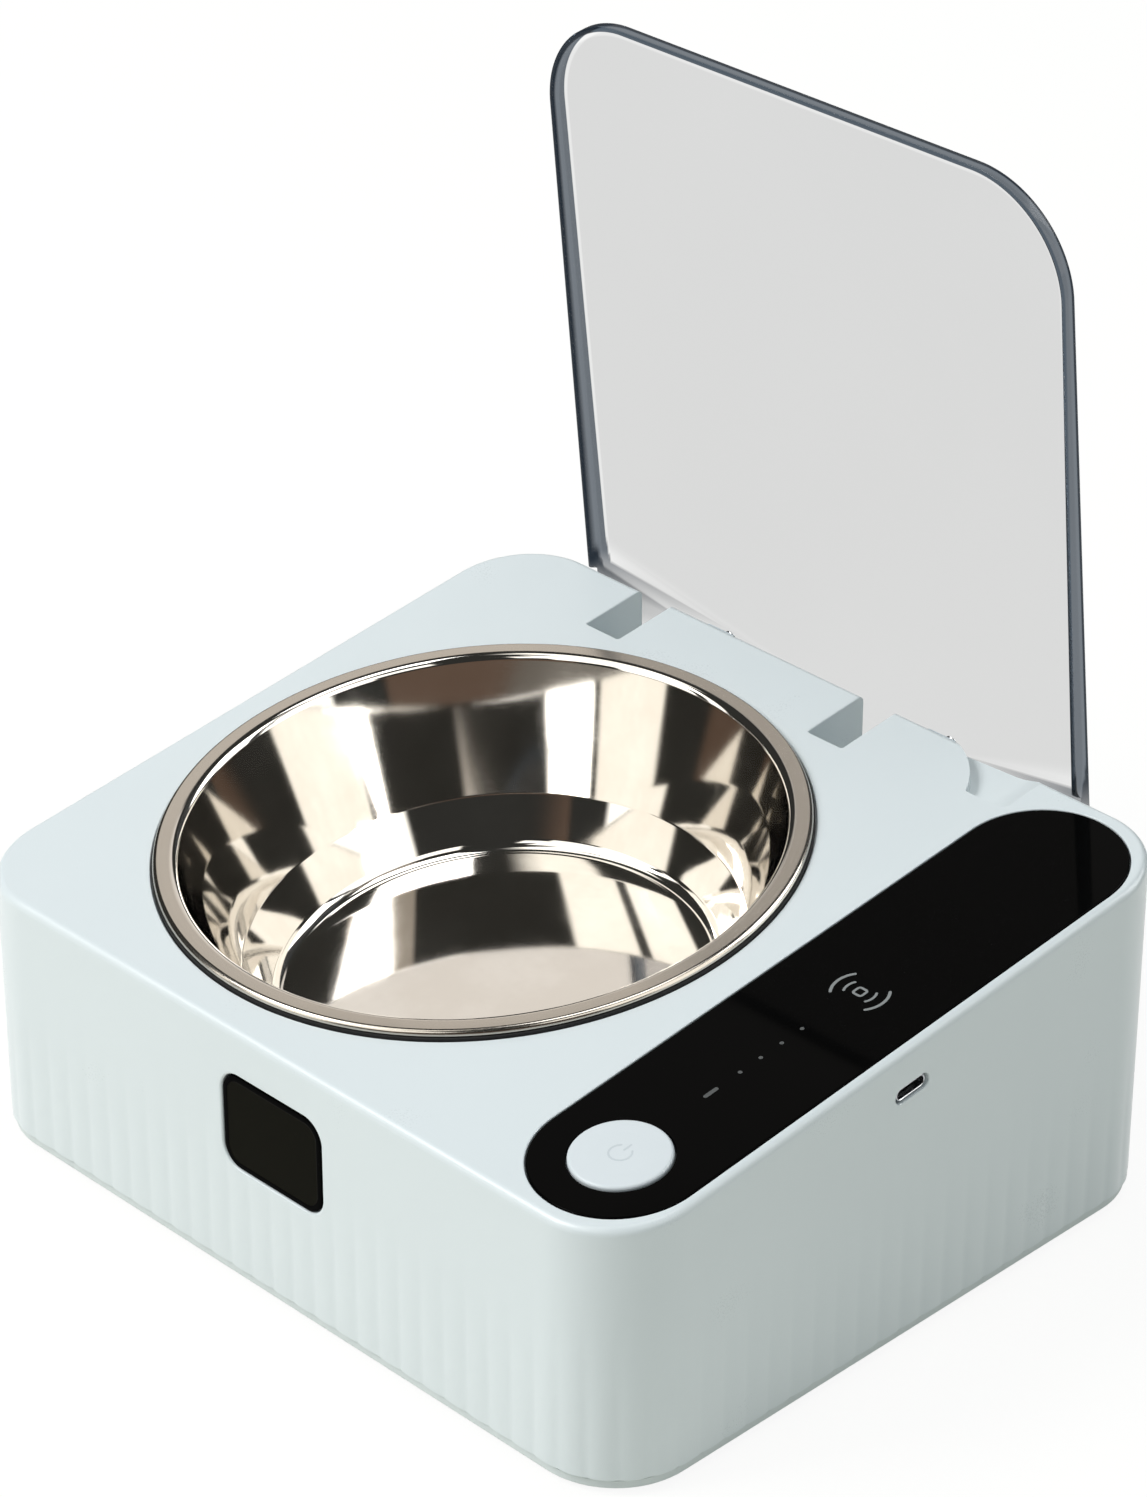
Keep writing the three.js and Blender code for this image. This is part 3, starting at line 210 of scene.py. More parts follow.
# %% [markdown]
# ## Skins
# A skin is a closed surface: rings of points with faces between neighbours. Rings that rise round the outside
# give faces that point outwards. Whole arrays are worked out at once and handed to Blender, so even the
# housing with its hundred reeds takes a moment.


# %% Turn rings and profiles into closed skins
def stack(rings, closed=False):
    """Rings of equal length, joined by quads. The ends are capped, or the last ring meets the first one."""
    rings = np.asarray(rings, float)
    count = rings.shape[1]
    index = np.arange(rings.shape[0] * count).reshape(-1, count)
    lower, upper = (index, np.roll(index, -1, axis=0)) if closed else (index[:-1], index[1:])
    corners = [lower, np.roll(lower, -1, 1), np.roll(upper, -1, 1), upper]
    quads = np.stack(corners, axis=-1).reshape(-1, 4).tolist()
    caps = [] if closed else [index[0][::-1].tolist(), index[-1].tolist()]
    return rings.reshape(-1, 3), quads + caps


def turned(profile, steps, centre=(0.0, 0.0)):
    """(radius, height) points turned about a vertical: x = radius cos t, y = radius sin t. A profile that
    starts and ends on the axis gets a pole at each end, and any other profile closes on itself."""
    profile = np.asarray(profile, float)
    t = np.arange(steps) / steps * 2 * math.pi
    circle = np.stack([np.cos(t), np.sin(t), np.zeros(steps)], axis=1)
    on_axis = profile[0, 0] == 0
    shown = profile[1:-1] if on_axis else profile
    rings = shown[:, 0, None, None] * circle + shown[:, 1, None, None] * np.array([0, 0, 1.0])
    vertices, faces = stack(rings, closed=not on_axis)
    if on_axis:
        poles = np.array([[0, 0, profile[0, 1]], [0, 0, profile[-1, 1]]])
        first, last = faces[-2][::-1], faces[-1]
        bottom, top = len(vertices), len(vertices) + 1
        fans = [[bottom, b, a] for a, b in zip(first, first[1:] + first[:1], strict=True)]
        fans += [[top, a, b] for a, b in zip(last, last[1:] + last[:1], strict=True)]
        vertices, faces = np.vstack([vertices, poles]), faces[:-2] + fans
    return vertices + [centre[0], centre[1], 0], faces


def rounded(points, radii, steps=6):
    """A run of straight lines with each inner corner replaced by an arc of its own radius."""
    points = np.asarray(points, float)
    run = [points[:1]]
    for corner, before, after, radius in zip(points[1:-1], points[:-2], points[2:], radii, strict=True):
        if radius == 0:
            run.append(corner[None])
            continue
        back = (before - corner) / np.linalg.norm(before - corner)
        ahead = (after - corner) / np.linalg.norm(after - corner)
        half = math.acos(np.clip(back @ ahead, -1, 1)) / 2
        middle = corner + (back + ahead) / np.linalg.norm(back + ahead) * radius / math.sin(half)
        reach = radius / math.tan(half)
        start, end = corner + back * reach - middle, corner + ahead * reach - middle
        turn = np.linspace(0, 1, steps + 1)[:, None]
        angle = math.acos(np.clip(start @ end / radius**2, -1, 1))
        swung = start * np.sin((1 - turn) * angle) + end * np.sin(turn * angle)
        run.append(middle + swung / math.sin(angle))
    run.append(points[-1:])
    return np.vstack(run)


def joined(skins):
    """Several skins as one, with each one's point numbers counted on from those before it."""
    faces, start = [], 0
    for vertices, own_faces in skins:
        faces += [[index + start for index in face] for face in own_faces]
        start += len(vertices)
    return np.vstack([vertices for vertices, _ in skins]), faces


# %% [markdown]
# ## From skins to Blender objects
# A skin becomes an object at the origin, with its place in its mesh. Edges sharper than about 30 degrees stay
# sharp, and a Weighted Normal modifier lets the large faces decide the shading, which is what makes narrow
# fillets read as fillets. Holes are cut with Blender's Manifold boolean, which keeps closed skins closed.


# %% Make, cut and finish objects
def as_object(name, skin, place):
    """A skin drawn in millimetres at a place becomes a mesh object in metres."""
    vertices, faces = skin
    mesh = bpy.data.meshes.new(name)
    mesh.from_pydata(place.at(vertices).tolist(), [], faces)
    mesh.validate()
    return in_scene(name, mesh)


def carve(piece, *steps):
    """Each step is (operation, object). The operations run in order, and the other objects are used up."""
    for operation, other in steps:
        cut = piece.modifiers.new(operation, "BOOLEAN")
        cut.operation, cut.object, cut.solver = operation, other, "MANIFOLD"
    evaluated = piece.evaluated_get(bpy.context.evaluated_depsgraph_get())
    before, piece.data = piece.data, bpy.data.meshes.new_from_object(evaluated)
    piece.modifiers.clear()
    bpy.data.meshes.remove(before)
    for _, other in steps:
        bpy.data.objects.remove(other)


def cuts(skins, place):
    """Steps for carve that take skins away."""
    return [("DIFFERENCE", as_object("cutter", skin, place)) for skin in skins]


def finish_piece(piece, body_name, slot, *replaces, finish=None, sharp_angle=32, bevel=0.0):
    """Shading, finish and body: the last steps that every piece goes through. A piece wears the finish that
    bears its slot's name, unless another one is named."""
    piece.data.materials.clear()
    piece.data.materials.append(finishes[finish or slot])
    piece.data.shade_smooth()
    piece.data.set_sharp_from_angle(angle=math.radians(sharp_angle))
    if bevel:
        edge = piece.modifiers.new("edge", "BEVEL")
        edge.width, edge.segments, edge.limit_method = bevel * MM, 2, "ANGLE"
        edge.angle_limit, edge.harden_normals = math.radians(sharp_angle), False
    weighted = piece.modifiers.new("weighted", "WEIGHTED_NORMAL")
    weighted.keep_sharp = True
    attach(piece, body_name)
    if replaces:
        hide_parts(*replaces)
    print(f"{piece.name}: {len(piece.data.polygons)} faces")


def add_piece(name, skin, place, body_name, slot, *replaces, **looks):
    """A skin that needs no cutting, made and finished in one go."""
    finish_piece(as_object(name, skin, place), body_name, slot, *replaces, **looks)


def mouth(outline, depth, flare, above=overrun):
    """A cutter for a hole with a rounded edge: straight walls from -depth up to -flare, then a quarter circle
    of radius flare that opens the mouth at height zero, and a straight rise above it."""
    turn = np.linspace(0, QUARTER, 6)
    rings = [outline.ring(0, -depth)]
    rings += [outline.ring(-flare * (1 - math.cos(a)), -flare + flare * math.sin(a)) for a in turn]
    rings.append(outline.ring(-flare, above))
    return stack(rings)


def masked(piece, name, values):
    """Stores one number for each point of a piece, for its finish to read."""
    stored = piece.data.attributes.new(name, "FLOAT", "POINT")
    stored.data.foreach_set("value", np.asarray(values, np.float32))


def local_points(piece, place):
    """A piece's points in the millimetres of a place."""
    points = np.empty(len(piece.data.vertices) * 3, np.float32)
    piece.data.vertices.foreach_get("co", points)
    return place.local(points.reshape(-1, 3).astype(float))


def merged_copy(node):
    """A CAD node's triangles with their shared corners joined: a new object that booleans can use."""
    mesh = frame["nodes"][node].data
    corners = np.empty(len(mesh.vertices) * 3, np.float32)
    mesh.vertices.foreach_get("co", corners)
    loops = np.empty(len(mesh.loops), np.int32)
    mesh.loops.foreach_get("vertex_index", loops)
    points, shared = np.unique(corners.reshape(-1, 3), axis=0, return_inverse=True)
    faces = shared.reshape(-1)[loops].reshape(-1, 3)
    a, b, c = faces.T
    faces = faces[(a != b) & (b != c) & (c != a)]
    return as_object(node + "_copy", (upright.local(points), faces.tolist()), upright)


# %% [markdown]
# ## Shader maths
# Materials are small graphs of nodes. The Field class lets a graph be written as a sum: a field times two
# plus one adds the two Math nodes. Every other node comes from one method that sets the node's own options
# first and then its sockets, so a finish reads from top to bottom.


# %% Write node graphs as expressions
class Field:
    """One output of a node. Sums and products with numbers or other fields add Math nodes."""

    def __init__(self, finish, socket):
        self.finish, self.socket = finish, socket

    def maths(self, operation, first, second):
        node = self.finish.node("Math", {"operation": operation}, {0: first, 1: second})
        return Field(self.finish, node.outputs[0])

    def __add__(self, other):
        return self.maths("ADD", self, other)

    def __sub__(self, other):
        return self.maths("SUBTRACT", self, other)

    def __rsub__(self, other):
        return self.maths("SUBTRACT", other, self)

    def __mul__(self, other):
        return self.maths("MULTIPLY", self, other)

    def __pow__(self, other):
        return self.maths("POWER", self, other)

    def at_least(self, other):
        return self.maths("MAXIMUM", self, other)

    def ramp(self, low, high, start=0.0, end=1.0):
        """Rises smoothly from start to end while the field goes from low to high."""
        settings = {"interpolation_type": "SMOOTHSTEP"}
        node = self.finish.node("MapRange", settings, {0: self, 1: low, 2: high, 3: start, 4: end})
        return Field(self.finish, node.outputs[0])


class Nodes:
    """A node tree being written, of a material or of the world."""

    def __init__(self, tree):
        self.tree = tree
        tree.nodes.clear()

    def node(self, kind, settings=(), sockets=()):
        made = self.tree.nodes.new("ShaderNode" + kind)
        for name, value in dict(settings).items():
            setattr(made, name, value)
        for name, value in dict(sockets).items():
            if isinstance(value, Field):
                self.tree.links.new(value.socket, made.inputs[name])
            else:
                made.inputs[name].default_value = value
        return made

    def field(self, kind, settings=(), sockets=(), output=0):
        return Field(self, self.node(kind, settings, sockets).outputs[output])

    def mix(self, factor, first, second):
        """A colour between two colours."""
        return self.field("Mix", {"data_type": "RGBA"}, {0: factor, 6: first, 7: second}, output=2)

    def noise(self, place, scale, detail=2.0, roughness=0.5):
        sockets = {"Vector": place, "Scale": scale, "Detail": detail, "Roughness": roughness}
        return self.field("TexNoise", {}, sockets)

    def bump(self, height, distance):
        """A surface normal tipped by a height field, with distance in metres."""
        return self.field("Bump", {}, {"Height": height, "Distance": distance})

    def mask(self, name):
        """The numbers that were stored on the mesh under a name."""
        return self.field("Attribute", {"attribute_name": name}, {}, output="Fac")

    def parts(self, vector):
        """The three numbers of a vector."""
        split = self.node("SeparateXYZ", {}, {0: vector})
        return [Field(self, split.outputs[i]) for i in range(3)]

    def rays(self, *kinds):
        """For each kind of ray, a field that is one where such a ray looks and zero elsewhere."""
        path = self.node("LightPath")
        return [Field(self, path.outputs[f"Is {kind} Ray"]) for kind in kinds]


def srgb(red, green, blue):
    """Screen values from 0 to 255 as the linear colour that shaders want."""
    share = np.array([red, green, blue]) / 255
    linear = np.where(share <= 0.04045, share / 12.92, ((share + 0.055) / 1.055) ** 2.4)
    return (*linear.tolist(), 1.0)


def scaled(colour, factor):
    """A colour made darker or lighter."""
    return (*(channel * factor for channel in colour[:3]), 1.0)


def new_finish(name):
    """An empty material, its nodes and the coordinates of the object that wears it."""
    material = bpy.data.materials.new(name)
    material.use_nodes = True
    nodes = Nodes(material.node_tree)
    return material, nodes, nodes.field("TexCoord", {}, {}, output="Object")


def surface(nodes, **sockets):
    """A Principled surface. Names are its sockets' names with underscores for spaces."""
    named = {name.replace("_", " "): value for name, value in sockets.items()}
    shader = nodes.field("BsdfPrincipled", {}, named)
    nodes.node("OutputMaterial", {}, {"Surface": shader})


# %% [markdown]
# ## Moulded plastics
# A moulded shell is never one flat colour. The tool was spark-eroded, which leaves a grain of well under a
# millimetre, the colour drifts a little with the wall's thickness, and handling changes the gloss in soft
# patches. Three noises at three scales give these, each far too weak to be seen as a pattern.


# %% Make the plastic finishes
def moulded(name, colour, roughness, grain=0.000012, drift=0.02):
    """Plastic with an eroded grain in its bump, soft patches in its gloss and a slight drift of colour."""
    material, nodes, place = new_finish(name)
    broad = nodes.noise(place, 14.0, detail=3.0)
    patches = nodes.noise(place, 40.0, detail=1.0)
    fine = nodes.noise(place, 2600.0, detail=2.0)
    tint = nodes.mix(broad.ramp(0.3, 0.7), scaled(colour, 1 - drift), colour)
    gloss = patches.ramp(0.2, 0.8, roughness - 0.02, roughness + 0.02) + fine * 0.03
    surface(nodes, Base_Color=tint, Roughness=gloss, Normal=nodes.bump(fine, grain))
    return material


plastics = [
    ("white_shell", (231, 238, 240), 0.28, {}),
    ("base_shell", (222, 229, 229), 0.5, {}),
    ("button", (230, 236, 239), 0.34, {"grain": 0.000006}),
    ("hinge_plastic", (198, 208, 214), 0.42, {}),
    ("rubber", (30, 30, 31), 0.78, {"grain": 0.00003, "drift": 0.25}),
    ("dark_plastic", (30, 31, 33), 0.5, {"drift": 0.15}),
    ("gear_plastic", (232, 227, 214), 0.45, {}),
    ("lead_sleeve", (44, 44, 47), 0.55, {"drift": 0.2}),
    ("clear_lamp", (240, 239, 226), 0.22, {}),
    ("cell_sleeve", (46, 112, 176), 0.36, {"drift": 0.12}),
    ("sign_print", (140, 143, 143), 0.5, {}),
    ("lamp_print", (86, 88, 88), 0.5, {}),
    ("button_print", (213, 220, 224), 0.5, {}),
]
finishes = {}
for name, colour, roughness, looks in plastics:
    finishes[name] = moulded(name, srgb(*colour), roughness, **looks)
print("plastics:", sorted(finishes))

# %% [markdown]
# ## Metals
# The bowl is drawn from sheet and polished while it turns, so its faint scratches run in circles round its
# axis. A Mapping node moves the pattern to the bowl's tilted axis, and the distance from that axis drives a
# fine noise. The screws and shafts are plated or turned brass, with a plainer grain.


# %% Make the metal finishes
def polished_bowl():
    """Mirror steel: circles of polish from the distance to the bowl's axis, and soft patches of handling."""
    material, nodes, place = new_finish("polished_steel")
    centre = deck.at(np.array([*bowl_centre, 0.0]))
    turn = np.array([[1, 0, 0], deck_rear, deck_up])
    settings = {"Vector": place, "Rotation": (-deck_tilt, 0, 0), "Location": tuple(-(turn @ centre))}
    centred = nodes.field("Mapping", {}, settings)
    x, y, z = nodes.parts(centred)
    radius = (x * x + y * y) ** 0.5
    rings_per_metre = 9000.0
    ring_place = nodes.field("CombineXYZ", {}, {0: radius * rings_per_metre, 1: z * rings_per_metre, 2: 0.0})
    circles = nodes.noise(ring_place, 1.0, detail=3.0, roughness=0.7)
    patches = nodes.noise(place, 38.0, detail=4.0, roughness=0.62)
    flange = nodes.mask("flange")
    bright = nodes.mix(patches.ramp(0.35, 0.7), srgb(224, 220, 214), srgb(231, 228, 223))
    colour = nodes.mix(flange, bright, srgb(193, 187, 178))
    gloss = circles.ramp(0.35, 0.8, 0.04, 0.08) + patches.ramp(0.45, 0.8, 0.0, 0.03) + flange * 0.12
    bump = nodes.bump(circles, 0.0000006)
    surface(nodes, Base_Color=colour, Metallic=1.0, Roughness=gloss, Normal=bump)
    return material


def machined(name, colour, roughness):
    """Plated or turned metal: streaks of tooling in the gloss and small stains in the colour."""
    material, nodes, place = new_finish(name)
    stretched = nodes.field("Mapping", {}, {"Vector": place, "Scale": (12, 1, 1)})
    streaks = nodes.noise(stretched, 900.0, detail=3.0)
    stains = nodes.noise(place, 160.0, detail=4.0, roughness=0.6)
    tint = nodes.mix(stains.ramp(0.4, 0.75), colour, scaled(colour, 0.82))
    gloss = streaks.ramp(0.3, 0.75, roughness, roughness + 0.14)
    surface(nodes, Base_Color=tint, Metallic=1.0, Roughness=gloss, Normal=nodes.bump(streaks, 0.000004))
    return material


finishes["polished_steel"] = polished_bowl()
finishes["plated_steel"] = machined("plated_steel", srgb(198, 200, 203), 0.2)
finishes["brass"] = machined("brass", srgb(196, 164, 92), 0.28)
print("finishes so far:", len(finishes))

# %% [markdown]
# ## Glossy black and clear plastics
# The control strip and the sensor window are black acrylic: almost no colour, a very even gloss and a little
# dust. The lid is smoky clear acrylic. Seen edge on, light travels through much more of it, so its rim looks
# dark slate blue, and the fillet inside the rim gathers light into a thin bright line. Both are painted
# light: a mask on the mesh, one at the rim, zero on the sheet and below zero on the fillet, puts a painted
# shade of dark slate into the rim's colour and alpha and a painted bright line into the fillet's alpha.


# %% Make the strip, window, board and lid finishes
def black_acrylic(name, face, shine, border=None):
    """Gloss black with dust in its roughness. With a border, a mask on the mesh marks the border's colour."""
    material, nodes, place = new_finish(name)
    dust = nodes.noise(place, 420.0, detail=5.0, roughness=0.7)
    smears = nodes.noise(place, 30.0, detail=3.0)
    colour = nodes.mix(dust.ramp(0.62, 0.8), face, scaled(face, 1.6))
    if border:
        colour = nodes.mix(nodes.mask("border"), colour, border)
    gloss = smears.ramp(0.35, 0.7, 0.05, 0.1) + dust.ramp(0.6, 0.85, 0.0, 0.12)
    bump = nodes.bump(dust, 0.000001)
    surface(nodes, Base_Color=colour, Roughness=gloss, Normal=bump, Specular_IOR_Level=shine)
    return material


def clear_lid():
    """Smoky clear acrylic, dark slate where the mask on the mesh marks the rim. Its alpha lets most of the
    light straight through, so the lid casts only a faint shadow. Light that is let in unbent would be
    caught inside by a higher index, so the index is near one and the coat gives the gloss."""
    material, nodes, place = new_finish("clear_lid")
    # The rim's dark slate is painted shade, and the fillet's lower alpha is a painted bright line.
    rim = nodes.mask("rim")
    film = nodes.noise(place, 9.0, detail=3.0)
    smoke = nodes.mix(film.ramp(0.3, 0.75), srgb(32, 33, 35), srgb(46, 47, 49))
    colour = nodes.mix(rim, smoke, srgb(22, 31, 41))
    gloss = film.ramp(0.35, 0.8, 0.012, 0.03)
    cover, coat = rim * 0.8 + 0.19, rim * 0.2 + 0.05
    sockets = {"Transmission_Weight": 1.0, "IOR": 1.03, "Coat_IOR": 1.5, "Coat_Roughness": 0.04}
    surface(nodes, Base_Color=colour, Roughness=gloss, Alpha=cover, Coat_Weight=coat, **sockets)
    return material


def circuit_board():
    """Green lacquer over a weave of glass cloth, with paler copper areas beneath it."""
    material, nodes, place = new_finish("circuit_board")
    copper = nodes.noise(place, 240.0, detail=0.0).ramp(0.5, 0.53)
    weave = nodes.noise(place, 1600.0, detail=1.0)
    colour = nodes.mix(copper, srgb(24, 84, 52), srgb(46, 118, 74))
    gloss = weave.ramp(0.2, 0.8, 0.3, 0.48)
    surface(nodes, Base_Color=colour, Roughness=gloss, Normal=nodes.bump(weave, 0.00001))
    return material


finishes["black_strip"] = black_acrylic("black_strip", srgb(5, 5, 5), 0.02)
finishes["sensor_window"] = black_acrylic("sensor_window", srgb(22, 21, 15), 0.01, border=srgb(2, 2, 2))
finishes["clear_lid"] = clear_lid()
finishes["circuit_board"] = circuit_board()
print("finishes:", len(finishes))

# %% [markdown]
# ## Every CAD node gets its finish
# The record says which finish each CAD solid is made of. Pieces inside the housing keep their CAD shape, and
# only their material is exchanged for the finished one.

# %% Dress the CAD nodes
for part in frame["record"]["subparts"]:
    node = frame["nodes"][part["node"]]
    node.material_slots[0].material = finishes[part["material_slot"]]

# %% [markdown]
# ## The upper housing
# On the real product this is one injection moulding. Its outside is a rounded wedge with shallow vertical
# reeds on the lower half of the walls. The reeds could be a bump map, but they change the outline at the
# bottom edge, so they are geometry: the inset of each wall point is the square of its distance from the
# middle of its reed, faded out with height. The CAD solid supplies the bosses, ribs and pockets inside, cut
# back to lie under the finer skin.

# %% Model the reeded skin
reed_count, reed_samples = 108, 8
reed_depth, reed_low, reed_high = 0.25, 12.0, 52.0
top_fillet, wall_thickness, deck_thickness = 1.9, 2.3, 2.6
shell_bottom, bottom_edge, inside_inset = 3.7, 0.4, 1.0


def deck_over(ring, drop):
    """Lifts a ring's points to the tilted deck above them, less a drop."""
    lifted = ring.copy()
    lifted[:, 2] = deck_height + deck_slope * ring[:, 1] - drop
    return lifted


def reeded_skin():
    """inset = depth * (2 u)^2 * fade(z), where u runs from -1/2 to 1/2 across each reed, and above the walls
    a quarter circle: inset = R (1 - cos a), drop = R (1 - sin a)."""
    wall = rectangle(
        -body_width / 2, body_width / 2, -body_depth / 2, body_depth / 2, body_corner,
        count=reed_count * reed_samples,
    )
    share = np.arange(reed_count * reed_samples) / reed_samples
    groove = (2 * np.abs(share - np.round(share))) ** 2
    rings = [wall.ring(bottom_edge + groove * reed_depth, shell_bottom)]
    for z in np.linspace(shell_bottom + bottom_edge, reed_high, 20):
        rise = np.clip((reed_high - z) / (reed_high - reed_low), 0, 1)
        fade = rise * rise * (3 - 2 * rise)
        rings.append(wall.ring(groove * reed_depth * fade, z))
    for a in np.linspace(0, QUARTER, 8):
        rings.append(deck_over(wall.ring(top_fillet * (1 - math.cos(a))), top_fillet * (1 - math.sin(a))))
    return stack(rings)


def wedge_skin(inset, bottom, drop):
    """The plain wedge drawn in by an inset."""
    return stack([body.ring(inset, bottom), deck_over(body.ring(inset), drop)])


housing = as_object("housing_shell", reeded_skin(), upright)
hollow_skin = wedge_skin(wall_thickness, -overrun, deck_thickness / math.cos(deck_tilt))
hollow = as_object("hollow", hollow_skin, upright)
inside = merged_copy("upper_housing")
under_skin = as_object("under_skin", wedge_skin(inside_inset, 0.0, inside_inset), upright)
carve(inside, ("INTERSECT", under_skin))
carve(housing, ("DIFFERENCE", hollow), ("UNION", inside))
print("housing before its openings:", len(housing.data.polygons), "faces")

# %% [markdown]
# ## The openings of the housing
# Each opening is a closed cutter drawn in its own place: the well and the strip's recess square to the deck,
# the sensor window on the front wall and the charging slot on the right wall. Their mouths open with a small
# quarter circle, because no moulded edge is knife sharp, and that is what catches the thin bright lines.

# %% Name the sizes of the openings
mouth_radius, rim_radius, crease_radius, floor_radius = 68.4, 74.4, 58.0, 51.5
crease_depth, bowl_depth, bowl_sheet, bowl_proud = 30.0, 41.5, 0.8, 2.1
seal_recess, under_bowl, round_bowl = 1.2, 0.8, 3
panel_x, panel_radius = 82.8, 19.6
panel_front, panel_rear = -deck_half + 3.9 + panel_radius, deck_half - 4.3 - panel_radius
panel_thickness, ledge_width, opening_depth = 2.0, 2.5, 7.0
notch_places, notch_width, notch_front = (-58.3, 13.7), 10.7, 19.0
hub_radius, under_hub = 5.0, 1.4
notch_floor = hinge_z - hub_radius - under_hub
window_width, window_height, window_bottom, window_radius = 32.2, 24.6, 31.0, 5.5
board_depth, board_thickness, socket_width, socket_height = 7.8, 1.2, 9.0, 3.1
slot_along, slot_width, slot_height, slot_edge = panel_front + 64.0, 10.5, 3.8, 0.3
slot_z = -board_depth - board_thickness - seat - socket_height / 2
mouth_edge = 0.35
print("mm from the deck down to the middle of the charging slot:", round(-slot_z, 2))


# %% Draw the cutters
def well_skin():
    """The bowl's well: floor, slanted foot, straight bore and the wider step in which the seal lies."""
    bore, pocket = mouth_radius + bowl_sheet + seat, rim_radius + 2 * seat
    floor, foot = -bowl_depth - bowl_sheet - under_bowl, floor_radius + round_bowl
    points = [(0, floor), (foot, floor), (bore, -crease_depth + round_bowl), (bore, -seal_recess)]
    points += [(pocket, -seal_recess), (pocket, 0), (pocket + mouth_edge, 0), (pocket + mouth_edge, overrun)]
    run = rounded(points + [(0, overrun)], [1.5, 2.0, 0.3, 0.2, 0, 0, 0])
    step = np.flatnonzero((run[:, 0] == pocket) & (run[:, 1] == 0))[0]
    turn = np.linspace(0, QUARTER, 6)
    lip = np.stack([pocket + mouth_edge * (1 - np.cos(turn)), mouth_edge * (np.sin(turn) - 1)], axis=1)
    return turned(np.vstack([run[:step], lip, run[step + 2:]]), 192, bowl_centre)


def scoop_skin():
    """The finger scoop from above. Its left side bends round the tab beside the hinge slot: a hollow arc,
    which Outline draws with a negative radius, meets the front edge in a tight corner."""
    tab_x, tab_y, tab_radius, tight, wide = 28.6, 64.0, 26.0, 0.6, 5.0
    front, rear, right = deck_half - 14.0, deck_half + 10.0, 65.0
    meet = math.asin((front + tight - tab_y) / (tab_radius + tight))
    outline = Outline([
        (tab_x + (tab_radius + tight) * math.cos(meet), front + tight, tight, meet - 2 * QUARTER, -QUARTER),
        (right - wide, front + wide, wide, -QUARTER, 0),
        (right, rear, 0, 0, QUARTER),
        (tab_x - 1, rear, 0, QUARTER, 2 * QUARTER),
        (tab_x - 1, tab_y + tab_radius, 0, 2 * QUARTER, 3 * QUARTER),
        (tab_x, tab_y, -tab_radius, 3 * QUARTER, 2 * QUARTER + meet),
    ], steps=24)
    return stack([outline.ring(0, -5.0), outline.ring(0, top_fillet + overrun)])


def scoop_floor_skin():
    """The space over the scoop's floor, a side view run from rear to front:
    z = -depth + slope (x - 40) + curl (x - 55)^2, with the last term only where x is over 55."""
    depth, slope, curl = 3.3, 0.053, 0.028
    x = np.linspace(20.0, 66.0, 47)
    z = -depth + slope * (x - 40.0) + curl * np.maximum(x - 55.0, 0.0) ** 2
    x, z = np.append(x, [x[-1], x[0]]), np.append(z, [6.0, 6.0])
    return stack([np.stack([x, np.full_like(x, y), z], axis=1) for y in (deck_half + 15.0, deck_half - 20.0)])


def notch_skin(x):
    """A slot for a hinge arm, open to the rear, with a small radius in its inner corners."""
    half = notch_width / 2
    outline = rectangle(x - half, x + half, deck_half - notch_front, deck_half + 2 * top_fillet, 0.6, steps=5)
    return mouth(outline, -notch_floor, mouth_edge, above=overrun + top_fillet)


def window_outline(**sampling):
    half = window_width / 2
    return rectangle(-half, half, window_bottom, window_bottom + window_height, window_radius, **sampling)


def slot_outline(width, height):
    half = (width - height) / 2
    return capsule(slot_along - half, slot_along + half, slot_z, height / 2)


# %% Cut the openings
scoop = as_object("scoop", scoop_skin(), deck)
carve(scoop, ("INTERSECT", as_object("scoop_floor", scoop_floor_skin(), deck)))
recess = stadium(panel_x, panel_front, panel_rear, panel_radius + seat, steps=48)
opening = stadium(panel_x, panel_front, panel_rear, panel_radius - ledge_width, steps=48)
recess_skin = mouth(recess, panel_thickness + seat, mouth_edge)
opening_skin = stack([opening.ring(0, -opening_depth), opening.ring(0, overrun)])
window_hole = mouth(window_outline(), wall_thickness + overrun, 2 * mouth_edge)
slot_hole = mouth(slot_outline(slot_width, slot_height), wall_thickness + overrun, slot_edge)
openings = cuts([well_skin(), recess_skin, opening_skin], deck) + [("DIFFERENCE", scoop)]
openings += cuts([window_hole], front_wall) + cuts([slot_hole], right_wall)
openings += cuts([notch_skin(x) for x in notch_places], deck)
carve(housing, *openings)
finish_piece(housing, "base", "white_shell", "upper_housing")

# %% [markdown]
# ## The base cover, its screws and feet
# A thin pan closes the housing from below. It is drawn in by less than a millimetre, which leaves the fine
# shadow line round the foot of the body. Four screws hold it and four rubber feet lie in shallow recesses.
# The lip inside comes from the CAD solid.

# %% Model the base pan
base_inset, base_low, base_high = 0.8, 1.2, 3.4
lip_inset, over_lip = base_inset + 1.0, 40.0
foot_radius, foot_height, foot_dip, foot_recess = 6.0, 1.7, 0.35, 0.8
foot_places = [(x, y) for x in (-81.0, 81.0) for y in (-64.5, 64.5)]
screw_sizes = (2.9, 1.6, 1.5, 13.6)
screw_head, screw_head_height, screw_shank, _ = screw_sizes
post_reach = (body_corner - wall_thickness - 2.5) * math.sqrt(0.5)
post_x, post_y = body_width / 2 - body_corner + post_reach, body_depth / 2 - body_corner + post_reach
screw_places = [(x * post_x, y * post_y) for x in (-1, 1) for y in (-1, 1)]


def rod_skin(radius, low, high, x, y, steps=48):
    return turned([(0, low), (radius, low), (radius, high), (0, high)], steps, (x, y))


def pan_skin():
    """The band that shows. Its lower edge is round: inset = base + r (1 - sin a), z = low + r (1 - cos a)."""
    edge = 0.7
    rings = []
    for a in np.linspace(0, QUARTER, 6):
        rings.append(body.ring(base_inset + edge * (1 - math.sin(a)), base_low + edge * (1 - math.cos(a))))
    return stack(rings + [body.ring(base_inset, base_high)])


